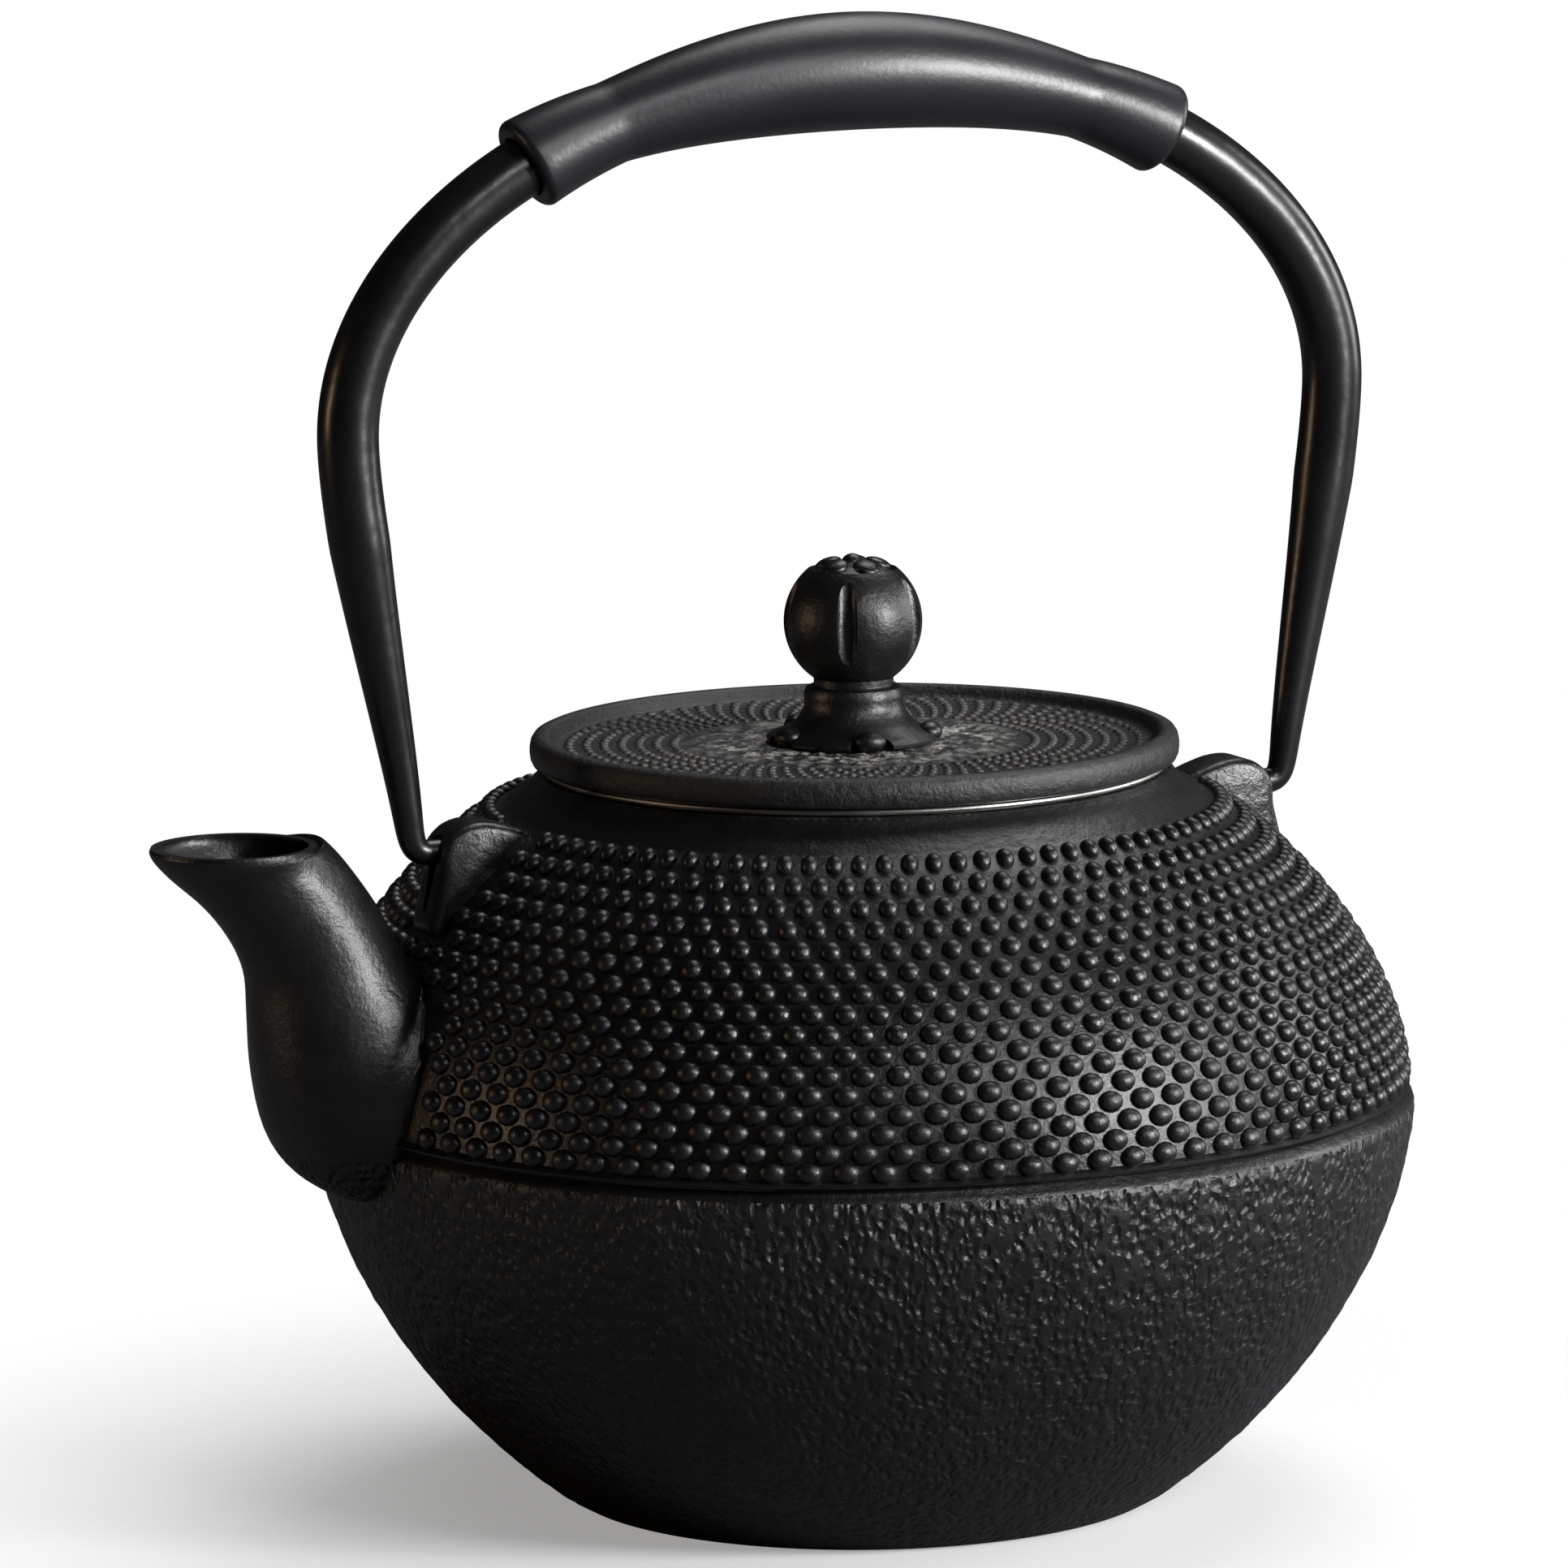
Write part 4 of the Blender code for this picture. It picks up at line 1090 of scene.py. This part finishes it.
def half_bail():
    """Centre line from the crown's middle to the hook's tip, on the +X side."""
    top = HINGE_HEIGHT + BAIL_RISE
    crown_end = (CROWN_HALF_LENGTH, top - CROWN_DROP)
    slope = math.atan2(2 * CROWN_DROP, CROWN_HALF_LENGTH)
    widest = (BAIL_HALF_WIDTH, HINGE_HEIGHT + BAIL_WIDEST_RISE)
    lean = math.atan2(BAIL_HALF_WIDTH - LEG_FOOT[0], BAIL_WIDEST_RISE)
    third = CROWN_HALF_LENGTH / 3
    reach = 24 * MM
    crown_handle = (crown_end[0] - third * math.cos(slope), crown_end[1] + third * math.sin(slope))
    shoulder_handle = (crown_end[0] + reach * math.cos(slope), crown_end[1] - reach * math.sin(slope))
    leg_handle = (LEG_FOOT[0] + 15 * MM * math.sin(lean), LEG_FOOT[1] + 15 * MM * math.cos(lean))
    bend_handle = (LEG_FOOT[0] - 4.2 * MM * math.sin(lean), LEG_FOOT[1] - 4.2 * MM * math.cos(lean))
    crown = bezier((0.0, top), (third, top), crown_handle, crown_end, 24)
    shoulder = bezier(crown_end, shoulder_handle, (widest[0], widest[1] + 20 * MM), widest, 48)
    leg = bezier(widest, (widest[0], widest[1] - 12 * MM), leg_handle, LEG_FOOT, 40)
    bend = bezier(LEG_FOOT, bend_handle, (HOOK_BEND + 3.0 * MM, HINGE_HEIGHT), (HOOK_BEND, HINGE_HEIGHT), 16)
    tip = [Vector((HOOK_TIP + 0.5 * MM, 0.0, HINGE_HEIGHT)), Vector((HOOK_TIP, 0.0, HINGE_HEIGHT))]
    return crown[:-1] + shoulder[:-1] + leg[:-1] + bend + tip


def mirrored(half):
    return [Vector((-p.x, p.y, p.z)) for p in reversed(half[1:])] + list(half)


def swept(name, points, radii, roundness):
    """A curve through the points with a round bevel that swells to the radii, made into a mesh."""
    deselect()
    bpy.ops.curve.primitive_nurbs_path_add(location=(0.0, 0.0, 0.0))
    path = bpy.context.object
    path.name = name
    path.data.splines.clear()
    line = path.data.splines.new("POLY")
    line.points.add(len(points) - 1)
    for at, point, radius in zip(line.points, points, radii):
        at.co = (point.x, point.y, point.z, 1.0)
        at.radius = radius / MM
    path.data.bevel_depth = MM
    path.data.bevel_resolution = roundness
    path.data.use_fill_caps = True
    bpy.ops.object.convert(target="MESH")
    open_mesh()
    bpy.ops.mesh.remove_doubles(threshold=0.002 * MM)
    close_mesh()
    return bpy.context.object


def bail_paint():
    """Stoved semi-gloss black paint with faint orange peel over the forged bar."""
    material, tree, place = new_material("semi-gloss black stove paint")
    peel = add_node(tree, "TexNoise", {"Vector": place, "Scale": 380.0, "Detail": 3.0})
    forge = add_node(tree, "TexNoise", {"Vector": place, "Scale": 70.0, "Detail": 3.0})
    tone = add_node(tree, "ValToRGB", {"Fac": peel}, stops=((0.0, "080808"), (1.0, "101011")))
    dull = add_node(tree, "MapRange", {
        "Value": forge, "From Min": 0.3, "From Max": 0.7, "To Min": 0.24, "To Max": 0.34,
    })
    bumps = add_node(tree, "Bump", {"Height": peel, "Strength": 0.30, "Distance": 0.00018})
    relief = add_node(tree, "Bump", {
        "Height": forge, "Strength": 0.5, "Distance": 0.0006, "Normal": bumps,
    })
    finish_material(tree, tone, dull, relief)
    return material


def rod_radius(point):
    share = (point.z - HINGE_HEIGHT) / TAPER_RISE
    return HOOK_RADIUS + (ROD_RADIUS - HOOK_RADIUS) * min(1.0, max(0.0, share))


bail_path = mirrored(half_bail())
bail_bar = swept("bail_bar", bail_path, [rod_radius(point) for point in bail_path], 12)
bail_bar.data.materials.append(bail_paint())
smooth(bail_bar)
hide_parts("bail")
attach(bail_bar, "bail")

# ----
# Grip. A sleeve moulded in dark heat-proof plastic round the crown of the bail: it swells in
# the middle, pinches in to a waist at each end, and opens into a short cuff.

GRIP_BORE = ROD_RADIUS + 0.3 * MM
GRIP_WALL = 3.9 * MM
GRIP_WAIST_WALL = 1.3 * MM
CUFF_WALL = 2.2 * MM
CUFF_LENGTH = 15.2 * MM
CUFF_ROUNDING = 1.2 * MM


def grip_stations():
    """Distance from the middle and outer radius, from the crown out to the rounded end of the cuff."""
    stations = []
    for share in stretch(0.0, 1.0, 40):
        swell = math.cos(share * math.pi / 2) ** 1.15
        wall = GRIP_WAIST_WALL + (GRIP_WALL - GRIP_WAIST_WALL) * swell
        stations.append((CROWN_HALF_LENGTH * share, GRIP_BORE + wall))
    end = CROWN_HALF_LENGTH + CUFF_LENGTH - CUFF_ROUNDING
    for share in stretch(0.0, 1.0, 12)[1:]:
        wall = GRIP_WAIST_WALL + (CUFF_WALL - GRIP_WAIST_WALL) * share
        stations.append((CROWN_HALF_LENGTH + (end - CROWN_HALF_LENGTH) * share, GRIP_BORE + wall))
    for turn in stretch(0.0, math.pi / 2, 8)[1:]:
        wall = CUFF_WALL - CUFF_ROUNDING * (1 - math.cos(turn))
        stations.append((end + CUFF_ROUNDING * math.sin(turn), GRIP_BORE + wall))
    return stations


def along(points, distance):
    """The point at this distance from the first one along the line."""
    for before, after in zip(points, points[1:]):
        step = (after - before).length
        if distance <= step:
            return before.lerp(after, distance / step)
        distance -= step
    return points[-1].copy()


def grip_plastic():
    """Moulded phenolic: a dark grey with a hint of violet, satin, with the mould's fine grain."""
    material, tree, place = new_material("satin dark grey moulded plastic")
    grain = add_node(tree, "TexNoise", {"Vector": place, "Scale": 1100.0, "Detail": 4.0})
    handled = add_node(tree, "TexNoise", {"Vector": place, "Scale": 45.0, "Detail": 4.0})
    tone = add_node(tree, "ValToRGB", {"Fac": handled}, stops=((0.0, "131216"), (1.0, "1b1a1f")))
    dull = add_node(tree, "MapRange", {
        "Value": handled, "From Min": 0.3, "From Max": 0.7, "To Min": 0.34, "To Max": 0.44,
    })
    relief = add_node(tree, "Bump", {"Height": grain, "Strength": 0.35, "Distance": 0.0001})
    finish_material(tree, tone, dull, relief)
    return material


def make_grip():
    half = half_bail()
    stations = grip_stations()
    path = mirrored([along(half, distance) for distance, _ in stations])
    radii = [radius for _, radius in reversed(stations[1:])] + [radius for _, radius in stations]
    grip = swept("grip_sleeve", path, radii, 22)
    bore_path = mirrored([along(half, i * 1.0 * MM) for i in range(60)])
    bore = swept("grip_bore", bore_path, [GRIP_BORE] * len(bore_path), 12)
    combine(grip, bore, "DIFFERENCE")
    return grip


grip_sleeve = make_grip()
grip_sleeve.data.materials.clear()
grip_sleeve.data.materials.append(grip_plastic())
smooth(grip_sleeve)
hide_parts("bail_grip")
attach(grip_sleeve, "bail")
